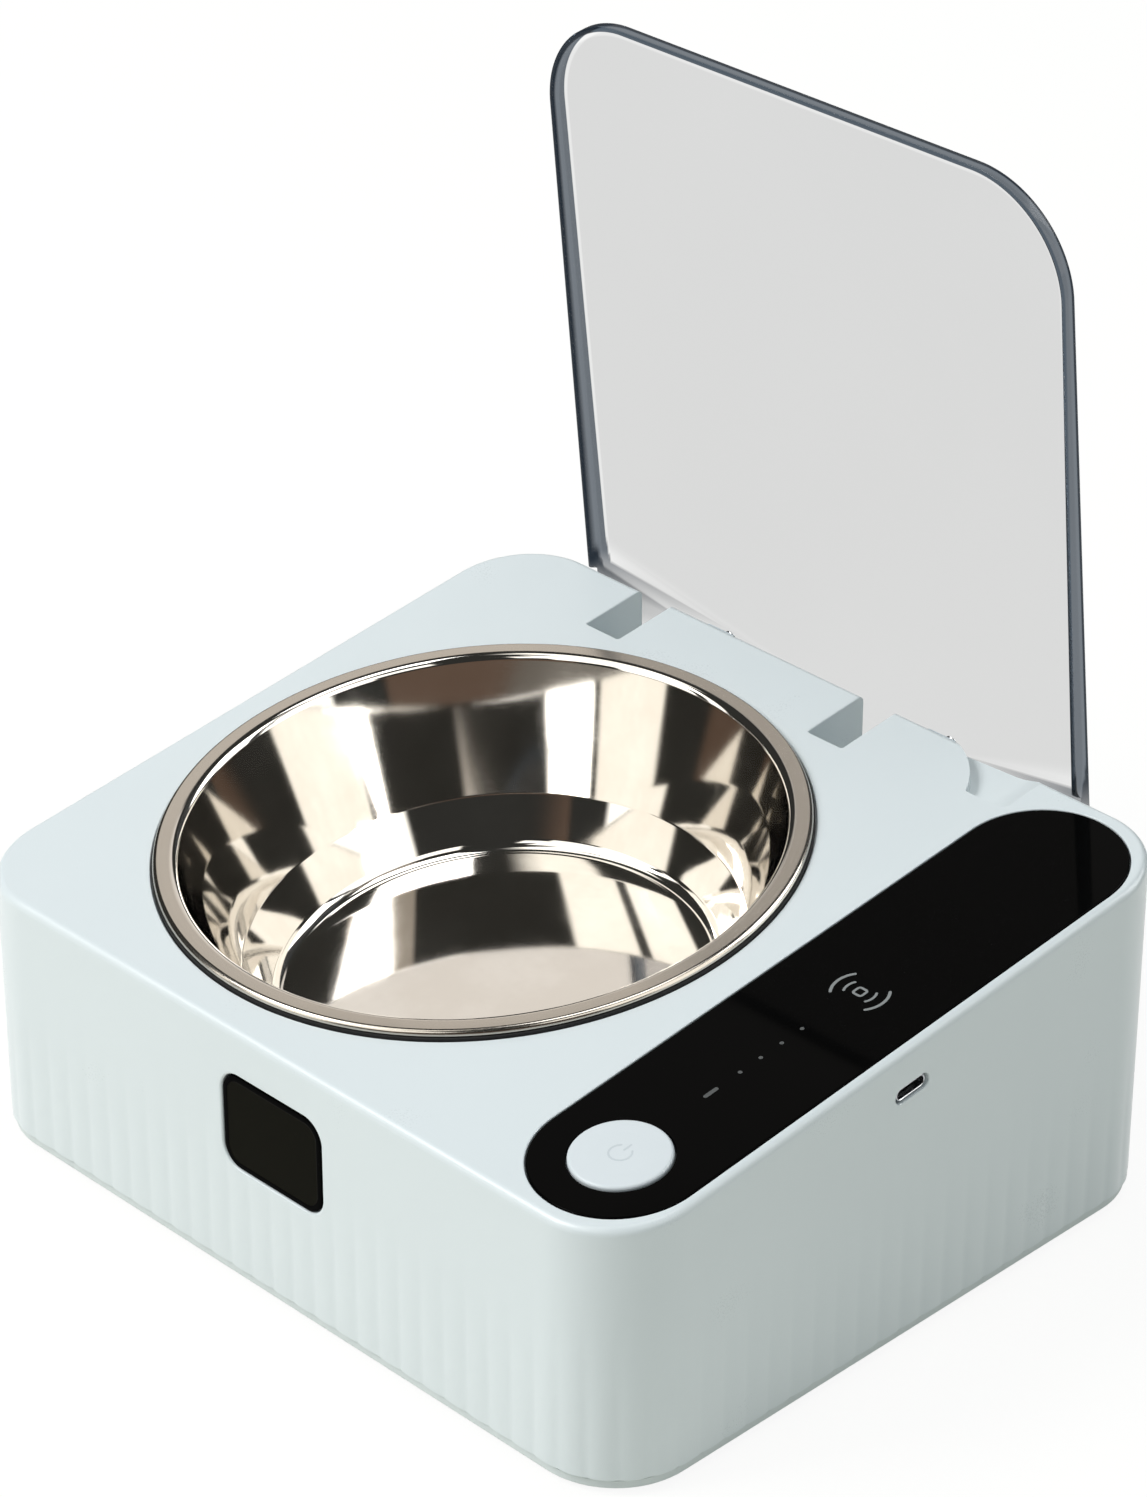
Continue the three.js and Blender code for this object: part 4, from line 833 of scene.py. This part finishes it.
base = as_object("base_pan", pan_skin(), upright)
lip = merged_copy("base_cover")
keep_skin = stack([body.ring(lip_inset, base_low + 0.5), body.ring(lip_inset, over_lip)])
carve(lip, ("INTERSECT", as_object("keep", keep_skin, upright)))
holes = [rod_skin(foot_radius + seat, 0.0, base_low + foot_recess, x, y) for x, y in foot_places]
holes += [rod_skin(screw_shank + seat, 0.0, 8.0, x, y) for x, y in screw_places]
sunk = base_low + screw_head_height + seat
holes += [rod_skin(screw_head + seat, 0.0, sunk, x, y) for x, y in screw_places]
carve(base, ("UNION", lip), *cuts(holes, upright))
finish_piece(base, "base", "base_shell", "base_cover")


# %% Add the screws and feet
def add_screw(name, place, centre, sizes, body_name, replaces, countersunk=False):
    """A screw with its head up at height zero: a turned profile with a cross of two slots in the head. The
    sizes are the head's radius and height, the shank's radius and the length."""
    (x, y), (head, head_height, shank, length) = centre, sizes
    points = [(0, -length), (shank, -length), (shank, -head_height)]
    if countersunk:
        points += [(head, -0.1), (head, 0), (0, 0)]
    else:
        points += [(head, -head_height), (head, -0.35), (head - 0.35, 0), (0, 0)]
    piece = as_object(name, turned(points, 40, centre), place)
    long, short = 0.62 * head, 0.2 * head
    arms = []
    for along, wide in ((long, short), (short, long)):
        arm = rectangle(x - along, x + along, y - wide, y + wide, 0.05, steps=2)
        arms.append(stack([arm.ring(0, -0.6 * head_height), arm.ring(0, 1.0)]))
    carve(piece, *cuts(arms, place))
    finish_piece(piece, body_name, "plated_steel", replaces)


below = Place((0, body_middle, base_low), (1, 0, 0), (0, -1, 0), (0, 0, -1))
for i, (x, y) in enumerate(screw_places, start=1):
    add_screw(f"pan_screw_{i}", below, (x, -y), screw_sizes, "base", f"base_screw_{i}")

foot_points = [(0, foot_dip), (3.4, foot_dip), (3.9, 0), (foot_radius, 0)]
foot_points += [(foot_radius, foot_height), (0, foot_height)]
foot_profile = rounded(foot_points, [0.3, 0.3, 0.6, 0.1])
for i, (x, y) in enumerate(foot_places, start=1):
    foot_skin = turned(foot_profile, 64, (x, y))
    add_piece(f"foot_pad_{i}", foot_skin, upright, "base", "rubber", f"rubber_foot_{i}")

# %% [markdown]
# ## The steel bowl and its seal
# A real bowl like this is deep drawn from 0.8 mm sheet. Its section has a flat floor, a slanted foot, a wall
# that opens slightly, and a flange whose edge is rolled down. The section is drawn once as straight lines
# with rounded corners, given its thickness along the normals, and turned about its axis.


# %% Turn the bowl
def thick_profile(face, sheet):
    """The section of a sheet: its face moved back along the normals, with a half circle at the edge."""
    ahead = np.gradient(face, axis=0)
    normal = np.stack([ahead[:, 1], -ahead[:, 0]], axis=1) / np.linalg.norm(ahead, axis=1)[:, None]
    normal[0] = (0, -1)
    back = face + normal * sheet
    turn = np.linspace(0, math.pi, 7)[1:-1, None]
    middle, out = (face[-1] + back[-1]) / 2, (back[-1] - face[-1]) / 2
    on = np.array([-out[1], out[0]])
    end = middle + out * np.cos(turn) + on * np.sin(turn)
    return np.vstack([back, end, face[::-1]])


lean = (mouth_radius - crease_radius) / crease_depth
roll_end = 0.9
section = [(0, -bowl_depth), (floor_radius, -bowl_depth), (crease_radius, -crease_depth)]
section += [(mouth_radius + bowl_proud * lean, bowl_proud), (rim_radius, bowl_proud), (rim_radius, roll_end)]
face = rounded(section, [4.0, 3.2, 2.2, 1.15], steps=10)
between = np.linspace(0.15, 0.95, 7)[:, None] * (face[1] - face[0]) + face[0]
face = np.vstack([face[:1], between, face[1:]])
bowl = as_object("steel_bowl", turned(thick_profile(face, bowl_sheet), 192, bowl_centre), deck)
local = local_points(bowl, deck)
reach = np.hypot(local[:, 0] - bowl_centre[0], local[:, 1] - bowl_centre[1])
masked(bowl, "flange", np.clip((reach - mouth_radius - 1.4) / 0.8, 0, 1))
finish_piece(bowl, "bowl", "polished_steel", "food_bowl")

# %% Turn the seal
lip_drop, lip_room = 1.3, 0.55
seal_low, seal_top = -seal_recess + seat, bowl_proud - bowl_sheet - seat
seal_step, under_lip = bowl_proud - lip_drop - seat, rim_radius - bowl_sheet - lip_room
inner, outer = mouth_radius + 1.5, rim_radius + seat
ring_points = [(inner, seal_low), (outer, seal_low), (outer, seal_step)]
ring_points += [(under_lip, seal_step), (under_lip, seal_top), (inner, seal_top)]
add_piece("seal_ring", turned(ring_points, 192, bowl_centre), deck, "base", "rubber", "bowl_seal")

# %% [markdown]
# ## The control strip, its marks and the push button
# The strip is a thin acrylic plate that lies flush in its recess. The push button stands a little proud of it
# and is slightly domed. The marks are silk-screened on the real strip. Here they are skins a few hundredths
# of a millimetre thick: a dash and four dots over the lamps, and a general sign for a proximity sensor.

# %% Model the strip
plate_edge, hole_edge = 0.3, 0.2
button_radius = 11.15
plate = stadium(panel_x, panel_front, panel_rear, panel_radius, steps=48)
turn = np.linspace(0, QUARTER, 5)
plate_rings = [plate.ring(0, -panel_thickness)]
plate_rings += [plate.ring(plate_edge * (1 - math.cos(a)), plate_edge * (math.sin(a) - 1)) for a in turn]
strip = as_object("control_strip", stack(plate_rings), deck)
button_hole = Outline([(panel_x, panel_front, button_radius + seat, 0, 4 * QUARTER)], steps=96)
carve(strip, *cuts([mouth(button_hole, panel_thickness + overrun, hole_edge)], deck))
finish_piece(strip, "base", "black_strip", "control_panel")

# %% Turn the button
button_proud, button_edge, button_dome = 0.9, 0.8, 0.12
flange_width, flange_thickness, stem_radius = 1.2, 1.2, 2
switch_height, plunger_proud = 2.4, 1.0
flange_radius, flange_top = button_radius + flange_width, -panel_thickness - seat
flange_low = flange_top - flange_thickness
stem_low = -board_depth + seat + switch_height + plunger_proud + seat
button_points = [(0, stem_low), (stem_radius, stem_low), (stem_radius, flange_low)]
button_points += [(flange_radius, flange_low), (flange_radius, flange_top), (button_radius, flange_top)]
button_points += [(button_radius, button_proud - button_dome), (button_radius * 0.6, button_proud)]
button_points += [(0, button_proud)]
button_profile = rounded(button_points, [0, 0, 0, 0.2, 0.2, button_edge, 3.0], steps=8)
button_skin = turned(button_profile, 96, (panel_x, panel_front))
add_piece("push_button", button_skin, deck, "button", "button", "power_button")


# %% Print the marks
def stroke(path, width):
    """A line with round ends as a closed curve: the path moved to both sides by half its width, and a half
    circle of that radius round each end."""
    path = np.asarray(path, float)
    ahead = np.gradient(path, axis=0)
    ahead /= np.linalg.norm(ahead, axis=1)[:, None]
    aside = np.stack([ahead[:, 1], -ahead[:, 0]], axis=1)
    half, turn = width / 2, np.linspace(0, math.pi, 9)[1:-1, None]
    end = path[-1] + half * (aside[-1] * np.cos(turn) + ahead[-1] * np.sin(turn))
    start = path[0] + half * (-aside[0] * np.cos(turn) - ahead[0] * np.sin(turn))
    return np.vstack([path + aside * half, end, (path - aside * half)[::-1], start])


def printed(curves, low, high):
    """Closed curves as thin plates between two heights."""
    plates = []
    for curve in curves:
        flat = np.column_stack([curve, np.zeros(len(curve))])
        plates.append(stack([flat + [0, 0, low], flat + [0, 0, high]]))
    return joined(plates)


def arc(x, y, radius, first, last, steps=16):
    angle = np.radians(np.linspace(first, last, steps + 1))
    return np.stack([x + radius * np.cos(angle), y + radius * np.sin(angle)], axis=1)


def line(x1, y1, x2, y2):
    return np.linspace((x1, y1), (x2, y2), 4)


print_low, print_high = -0.01, 0.03
lamp_places = [panel_front + along for along in (26.7, 35.5, 41.8, 48.2, 54.5)]
dash = stroke(line(panel_x, lamp_places[0] - 1.6, panel_x, lamp_places[0] + 1.6), 1.0)
dots = [arc(panel_x, y, 0.5, 0, 337.5, steps=15) for y in lamp_places[1:]]
lamps = printed([dash, *dots], print_low, print_high)
add_piece("indicator_marks", lamps, deck, "base", "black_strip", finish="lamp_print")

sign_x, sign_y, square_half, square_line = panel_x + 0.9, 6.0, 1.5, 0.6
waves = []
for side in (0, 180):
    waves.append(stroke(arc(sign_x, sign_y, 3.6, side - 30, side + 30), 0.6))
    waves.append(stroke(arc(sign_x, sign_y, 6.4, side - 38, side + 38), 0.7))
left, right = sign_x - square_half, sign_x + square_half
square = rectangle(left, right, sign_y - square_half, sign_y + square_half, 0.9, steps=6)
section = [(0, print_low), (0, print_high), (square_line, print_high), (square_line, print_low)]
square_skin = stack([square.ring(inset, height) for inset, height in section], closed=True)
sign = joined([printed(waves, print_low, print_high), square_skin])
add_piece("sensor_sign", sign, deck, "base", "black_strip", finish="sign_print")

power_line = 0.45
power_arc = stroke(arc(panel_x, panel_front, 2.5, 130, 410), power_line)
power_bar = stroke(line(panel_x, panel_front + 1.1, panel_x, panel_front + 3.2), power_line)
power = printed([power_arc, power_bar], button_proud - 0.02, button_proud + print_high)
add_piece("button_mark", power, deck, "button", "button", finish="button_print")

# %% [markdown]
# ## The sensor window
# A dark window closes the hole in the front wall. Infrared light passes it, though it looks black. It has a
# gloss border and a slightly sunken field, and a flange behind the wall holds it. Each ring of points carries
# a mask that tells the finish where the border is.


# %% Model the sensor window
window = window_outline(steps=16)
window_rings = [(-1.5, -3.6, 1), (-1.5, -2.6, 1), (seat, -2.6, 1), (seat, -0.55, 1), (0.4, -0.34, 1)]
window_rings += [(0.6, -0.25, 1), (1.7, -0.25, 1), (1.8, -0.3, 0), (2.0, -0.34, 0)]
glass_skin = stack([window.ring(inset, height) for inset, height, _ in window_rings])
glass = as_object("window_pane", glass_skin, front_wall)
masked(glass, "border", np.repeat([mask for *_, mask in window_rings], len(window.x)))
finish_piece(glass, "base", "sensor_window", "sensor_window")

# %% [markdown]
# ## The charging socket
# Behind the slot in the right wall sits a drawn steel shell with a plastic tongue. It is only a few
# millimetres tall, but its bright edge shows from the photograph's side.

# %% Model the socket's shell
socket_mouth, socket_length, sheet, edge = -0.6, 7.4, 0.35, 0.1
socket = slot_outline(socket_width, socket_height)
section = [(0, socket_mouth - socket_length), (0, socket_mouth - edge), (edge, socket_mouth)]
section += [(sheet - edge, socket_mouth), (sheet, socket_mouth - edge)]
section += [(sheet, socket_mouth - socket_length + sheet)]
socket_skin = stack([socket.ring(inset, height) for inset, height in section])
add_piece("socket_shell", socket_skin, right_wall, "base", "plated_steel", "usb_shell")

# %% [markdown]
# ## The clear lid
# The lid is a sheet 2.6 mm thick with a shallow skirt round its front and sides. It is drawn closed, as its
# tool would make it, and stands open at right angles to the deck in the photograph. One closed run of rings
# gives it: inner face, skirt, rounded rim and outer face. The skirt's height is a function of the distance
# from the hinge, so it tapers to the free edge and ends before the arms.

# %% Name the lid's sizes
lid_outer, lid_sheet, lid_wall = 33.5, 2.6, 1.2
lid_inner = lid_outer - lid_sheet
lid_left, lid_right = -101.5, 56.9
lid_front, lid_rear = -deck_half + 3.2 - hinge_y, 8.5
skirt_end, skirt_rear, skirt_front = -8.5, 5.6, 3.4
skirt_fade, lid_edge = 1.5, 1.0
front_corner, rear_corner = 26.0, 12.0
tint_line, tint_clear, tint_fades = 1.45, 2.1, 2.6
lid_outline = rectangle(lid_left, lid_right, lid_front, lid_rear, front_corner, rear_corner, count=560)
lid_face = Place(lid_open.origin + lid_open.axes[2] * lid_outer, *lid_open.axes)
lid_screw_places = [(x, y) for x in notch_places for y in (-3.6, 3.6)]
lid_screw_sizes = (1.9, 1.2, 0.9, 4.4)
lid_hole = 1.2
print("outline of the lid, mm round:", round(lid_outline.length, 1))


# %% Model the lid
def skirt_bottom(y):
    """Height of the skirt's lower edge: a straight taper, and level with the sheet behind the skirt's end."""
    share = np.clip((y - lid_front) / (skirt_end - lid_front), 0, 1)
    skirted = lid_outer - skirt_front + (skirt_front - skirt_rear) * share
    gone = np.clip((y - skirt_end + skirt_fade) / skirt_fade, 0, 1)
    return skirted + (lid_inner - 0.02 - skirted) * gone


def lid_skin():
    """Rings from the middle of the inner face, round the skirt and over the rim to the outer face."""

    def skirt(inset, lift):
        ring = lid_outline.ring(inset)
        low = skirt_bottom(ring[:, 1])
        ring[:, 2] = low + lift * np.clip((lid_inner - low) / 1.0, 0, 1)
        return ring

    def fillet(inset, share):
        ring = lid_outline.ring(inset)
        ring[:, 2] = lid_inner + (skirt_bottom(ring[:, 1]) - lid_inner) * share
        return ring

    rings = [fillet(tint_fades, 0.0), fillet(tint_clear, 0.02), fillet(tint_line, 0.25)]
    round_skirt = [(lid_wall, 0.35), (lid_wall - 0.12, 0.1), (lid_wall - 0.4, 0.0)]
    round_skirt += [(0.5, 0.0), (0.15, 0.1), (0.0, 0.4)]
    rings += [skirt(inset, lift) for inset, lift in round_skirt]
    for a in np.linspace(0, QUARTER, 7):
        height = lid_outer - lid_edge * (1 - math.sin(a))
        rings.append(lid_outline.ring(lid_edge * (1 - math.cos(a)), height))
    rings += [lid_outline.ring(inset, lid_outer) for inset in (lid_wall, tint_line, tint_clear, tint_fades)]
    return stack(rings)


lid = as_object("clear_lid", lid_skin(), lid_open)
sink_low, sink_radius, sink_depth = -lid_sheet - overrun, 2.2, 1.5
sink = [(0, sink_low), (lid_hole, sink_low), (lid_hole, -sink_depth), (sink_radius, 0)]
sink += [(sink_radius, overrun), (0, overrun)]
carve(lid, *cuts([turned(sink, 40, centre) for centre in lid_screw_places], lid_face))


# %% Tint its rim with painted shade and a painted bright line
def rim_distance(points):
    """Distance in from the lid's outline: to the nearer side, or to the corner's circle beyond its centre."""
    x, y = points[:, 0], points[:, 1]
    radius = np.where(y < 0, front_corner, rear_corner)
    reach_x = np.maximum(lid_left + radius - x, x - lid_right + radius)
    reach_y = np.maximum(lid_front + radius - y, y - lid_rear + radius)
    corner = np.hypot(np.maximum(reach_x, 0), np.maximum(reach_y, 0))
    side = np.maximum(reach_x, reach_y)
    return radius - np.where((reach_x > 0) & (reach_y > 0), corner, side)


local = local_points(lid, lid_open)
distance = rim_distance(local)
# Painted light: the rim's 1 is painted shade, bright_line makes the fillet clearer as a painted bright line,
# and the outer faces' 0.9 gives a lighter slate as a painted highlight.
bright_line = -0.19
steps = [lid_wall, tint_line, tint_clear, tint_fades]
tint = np.interp(distance, steps, [1.0, bright_line, bright_line, 0.0])
outside = (distance < 0.1) | ((local[:, 2] > lid_outer - lid_edge - 0.1) & (distance < lid_edge + 0.1))
tint = np.where(outside, 0.9, tint) * np.interp(local[:, 1], [-12.0, -4.0], [1.0, 0.45])
masked(lid, "rim", tint)
finish_piece(lid, "lid", "clear_lid", "lid_panel", sharp_angle=50)

# %% [markdown]
# ## The hinge
# Two arms reach up from the shaft through the slots in the deck and hold the lid with two countersunk screws
# each. The shaft runs across both slots in flanged brass bushes. These pieces show only in the slots and from
# behind, but they are what makes the lid believable when it moves.

# %% Model the arms and their screws
arm_width, web_half = 8.4, 3.6
arm_toe, arm_heel, arm_foot, gusset, gusset_drop = 7.6, 7.0, 2.2, 3.0, 6.4
shaft_radius, running_gap = 2.5, 0.1
foot_top = lid_inner - seat
foot_low = foot_top - arm_foot
web = np.array([
    (-web_half, 0), (web_half, 0), (web_half, foot_low),
    (arm_heel, foot_low), (arm_heel, foot_top), (-arm_toe, foot_top), (-arm_toe, foot_low),
    (-web_half - gusset, foot_low), (-web_half, foot_low - gusset_drop),
])


def across_skin(curve, left, right):
    """A curve drawn across the hinge, carried from left to right."""
    flat = np.column_stack([curve, np.zeros(len(curve))])
    return stack([flat + [0, 0, left], flat + [0, 0, right]])


for number, x in enumerate(notch_places, start=1):
    left, right = x - arm_width / 2, x + arm_width / 2
    arm = as_object(f"lid_arm_{number}", across_skin(web, left, right), hinge_side)
    hub = as_object("hub", rod_skin(hub_radius, left, right, 0, 0, steps=64), hinge_side)
    bore = as_object("bore", rod_skin(shaft_radius + running_gap, left - 1, right + 1, 0, 0), hinge_side)
    own_screws = [centre for centre in lid_screw_places if centre[0] == x]
    holes = [rod_skin(lid_hole, foot_low - 1, foot_top + 1, *centre) for centre in own_screws]
    carve(arm, ("UNION", hub), ("DIFFERENCE", bore), *cuts(holes, lid_open))
    finish_piece(arm, "lid", "hinge_plastic", f"hinge_arm_{number}", bevel=0.3)
    for i, centre in enumerate(own_screws, start=2 * number - 1):
        replaced = f"arm_screw_{i}"
        add_screw(f"lid_screw_{i}", lid_face, centre, lid_screw_sizes, "lid", replaced, countersunk=True)

# %% Turn the shaft and the bushes
pocket_wall, rib_thickness = 1.8, 2.6
rib_places = (notch_places[1] + 19.3, notch_places[1] + 33.3)
bearings = []
for x in notch_places:
    bearings.append((x - notch_width / 2 - pocket_wall, pocket_wall, False))
    bearings.append((x + notch_width / 2, pocket_wall, True))
bearings += [(rib_places[0], rib_thickness, False), (rib_places[1], rib_thickness, True)]
shaft_end, shaft_edge = 2.4, 0.4
shaft_left, shaft_right = bearings[0][0] - shaft_end, bearings[-1][0] + rib_thickness + shaft_end
shaft_tip = shaft_radius - shaft_edge
shaft_points = [(0, shaft_left), (shaft_tip, shaft_left), (shaft_radius, shaft_left + shaft_edge)]
shaft_points += [(shaft_radius, shaft_right - shaft_edge), (shaft_tip, shaft_right), (0, shaft_right)]
add_piece("lid_shaft", turned(shaft_points, 64), hinge_side, "lid", "plated_steel", "hinge_shaft")

bush_wall, bush_flange_width, bush_flange = 1.7, 0.6, 0.8
bush_inner, bush_outer = shaft_radius + running_gap, shaft_radius + running_gap + bush_wall
bush_rim = bush_outer + bush_flange_width
for number, (x, width, flange_right) in enumerate(bearings, start=1):
    start, end = width + seat, width + seat + bush_flange
    points = [(bush_inner, 0), (bush_outer, 0), (bush_outer, start), (bush_rim, start)]
    points = np.array([*points, (bush_rim, end), (bush_inner, end)])
    if not flange_right:
        points = (points * [1, -1] + [0, width])[::-1]
    bush_skin = turned(points + [0, x], 64)
    add_piece(f"bush_{number}", bush_skin, hinge_side, "base", "brass", f"hinge_bush_{number}")

# %% [markdown]
# ## Floor and lamps
# The floor glows almost white to the camera, and the small share of it that is lit carries the object's
# shadow. One large lamp from the front left shapes the body, and a weaker one hangs overhead.

# %% Lay the floor
floor_half, glow = 3.0, 0.86
floor_mesh = bpy.data.meshes.new("floor")
corners = [(x * floor_half, y * floor_half, 0) for x, y in ((-1, -1), (1, -1), (1, 1), (-1, 1))]
floor_mesh.from_pydata(corners, [], [(0, 1, 2, 3)])
floor = in_scene("floor", floor_mesh)
floor_finish, nodes, place = new_finish("floor")
camera_ray, passed, mirrored = nodes.rays("Camera", "Transmission", "Glossy")
reach = nodes.node("VectorMath", {"operation": "LENGTH"}, {0: place})
near = Field(nodes, reach.outputs["Value"]).ramp(0.35, 0.9, 1.0, 0.0)
lit = nodes.field("BsdfDiffuse", {}, {"Color": srgb(238, 237, 228)})
white = nodes.field("Emission", {}, {"Color": (1, 1, 1, 1), "Strength": 1.05})
dim = nodes.field("Emission", {}, {"Color": srgb(96, 86, 78), "Strength": 1.0})
straight = camera_ray.at_least(passed)
open_floor = nodes.field("MixShader", {}, {0: straight.at_least(mirrored * near), 1: dim, 2: white})
floor_surface = nodes.field("MixShader", {}, {0: straight.at_least(mirrored) * glow, 1: lit, 2: open_floor})
nodes.node("OutputMaterial", {}, {"Surface": floor_surface})
floor_mesh.materials.append(floor_finish)
print("floor in metres:", 2 * floor_half)


# %% Hang the lamps
def softbox(name, location, target, size, power):
    """A square lamp that faces a point."""
    lamp = bpy.data.lights.new(name, "AREA")
    lamp.shape, lamp.size, lamp.energy = "SQUARE", size, power
    made = in_scene(name, lamp)
    made.location = location
    made.rotation_euler = (Vector(target) - Vector(location)).to_track_quat("-Z", "Y").to_euler()


lamp_target = (0, 0, 0.05)
softbox("key", (-1.17, -1.63, 2.05), lamp_target, 1.2, 47.0)
softbox("top", (0.15, 0.35, 2.45), lamp_target, 1.0, 11.0)
print("lamps:", len(bpy.data.lights))

# %% [markdown]
# ## Surroundings
# Polished steel shows its surroundings, so reflections see a dark room with bright windows to both sides of
# the camera and a pale wall opposite it, which give the bowl its bands, while the white plastic is lit by a
# plain grey. A place in the room is a turn, in degrees from the camera, and a height, zero at eye level and
# one overhead. Each row of the table says where a window or wall begins and ends in turn, and how softly,
# then the same in height, and its colour.

# %% Write the room
world = bpy.data.worlds.new("studio")
bpy.context.scene.world = world
world.use_nodes = True
nodes = Nodes(world.node_tree)
direction = nodes.field("TexCoord", {}, {}, output="Generated")
x, y, z = nodes.parts(direction)
sine, cosine = math.sin(camera_azimuth), math.cos(camera_azimuth)
sideways, forwards = x * cosine + y * sine, x * sine - y * cosine
turn = sideways.maths("ARCTAN2", sideways, forwards) * (180 / math.pi)
away = turn.maths("ABSOLUTE", turn, 0.0)


def band(field, low, high, soft):
    """One between two values of a field and zero outside them, with soft edges."""
    return field.ramp(low - soft, low) * field.ramp(high, high + soft, 1.0, 0.0)


dark, brown, grey = srgb(52, 52, 50), srgb(104, 86, 74), srgb(186, 178, 168)
pale, ground = srgb(249, 243, 236), srgb(236, 236, 234)
cream, glare = (1.8, 1.76, 1.66, 1), (6, 6, 5.9, 1)
grey_light, white_light = (0.318, 0.352, 0.359, 1), (1, 1, 1, 1)
patches = [
    (turn, -34, 30, 4, -0.03, 0.24, 0.05, brown),
    (turn, 54, 104, 3, 0.0, 0.84, 0.025, cream),
    (turn, 36, 60, 3, 0.28, 0.84, 0.025, cream),
    (turn, 13, 40, 3, 0.57, 0.82, 0.025, cream),
    (turn, -96, -54, 3, 0.0, 0.965, 0.025, cream),
    (turn, -116, -92, 3, 0.77, 0.965, 0.025, cream),
    (turn, -58, -32, 3, 0.36, 0.84, 0.025, cream),
    (turn, -34, -20, 3, 0.52, 0.72, 0.025, cream),
    (turn, 48, 102, 4, 0.89, 0.97, 0.02, grey),
    (turn, 88, 124, 4, 0.3, 0.78, 0.03, glare),
    (away, 84, 88, 1.5, 0.0, 0.9, 0.02, dark),
]
room = dark
for angle, left, right, soft, low, high, edge, colour in patches:
    room = nodes.mix(band(angle, left, right, soft) * band(z, low, high, edge), room, colour)
room = nodes.mix(away.ramp(156, 164) * band(z, 0.3, 0.7, 0.02), room, pale)
room = nodes.mix(z.ramp(-0.1, -0.04, 1.0, 0.0), room, ground)
camera_ray, passed, mirrored = nodes.rays("Camera", "Transmission", "Glossy")
plain = nodes.mix(camera_ray.at_least(passed), grey_light, white_light)
mirror_ray = mirrored * (1 - passed)
background = nodes.field("Background", {}, {"Color": nodes.mix(mirror_ray, plain, room), "Strength": 1.0})
nodes.node("OutputWorld", {}, {"Surface": background})
bpy.context.scene.view_settings.view_transform = "Standard"
print("windows and walls:", len(patches))
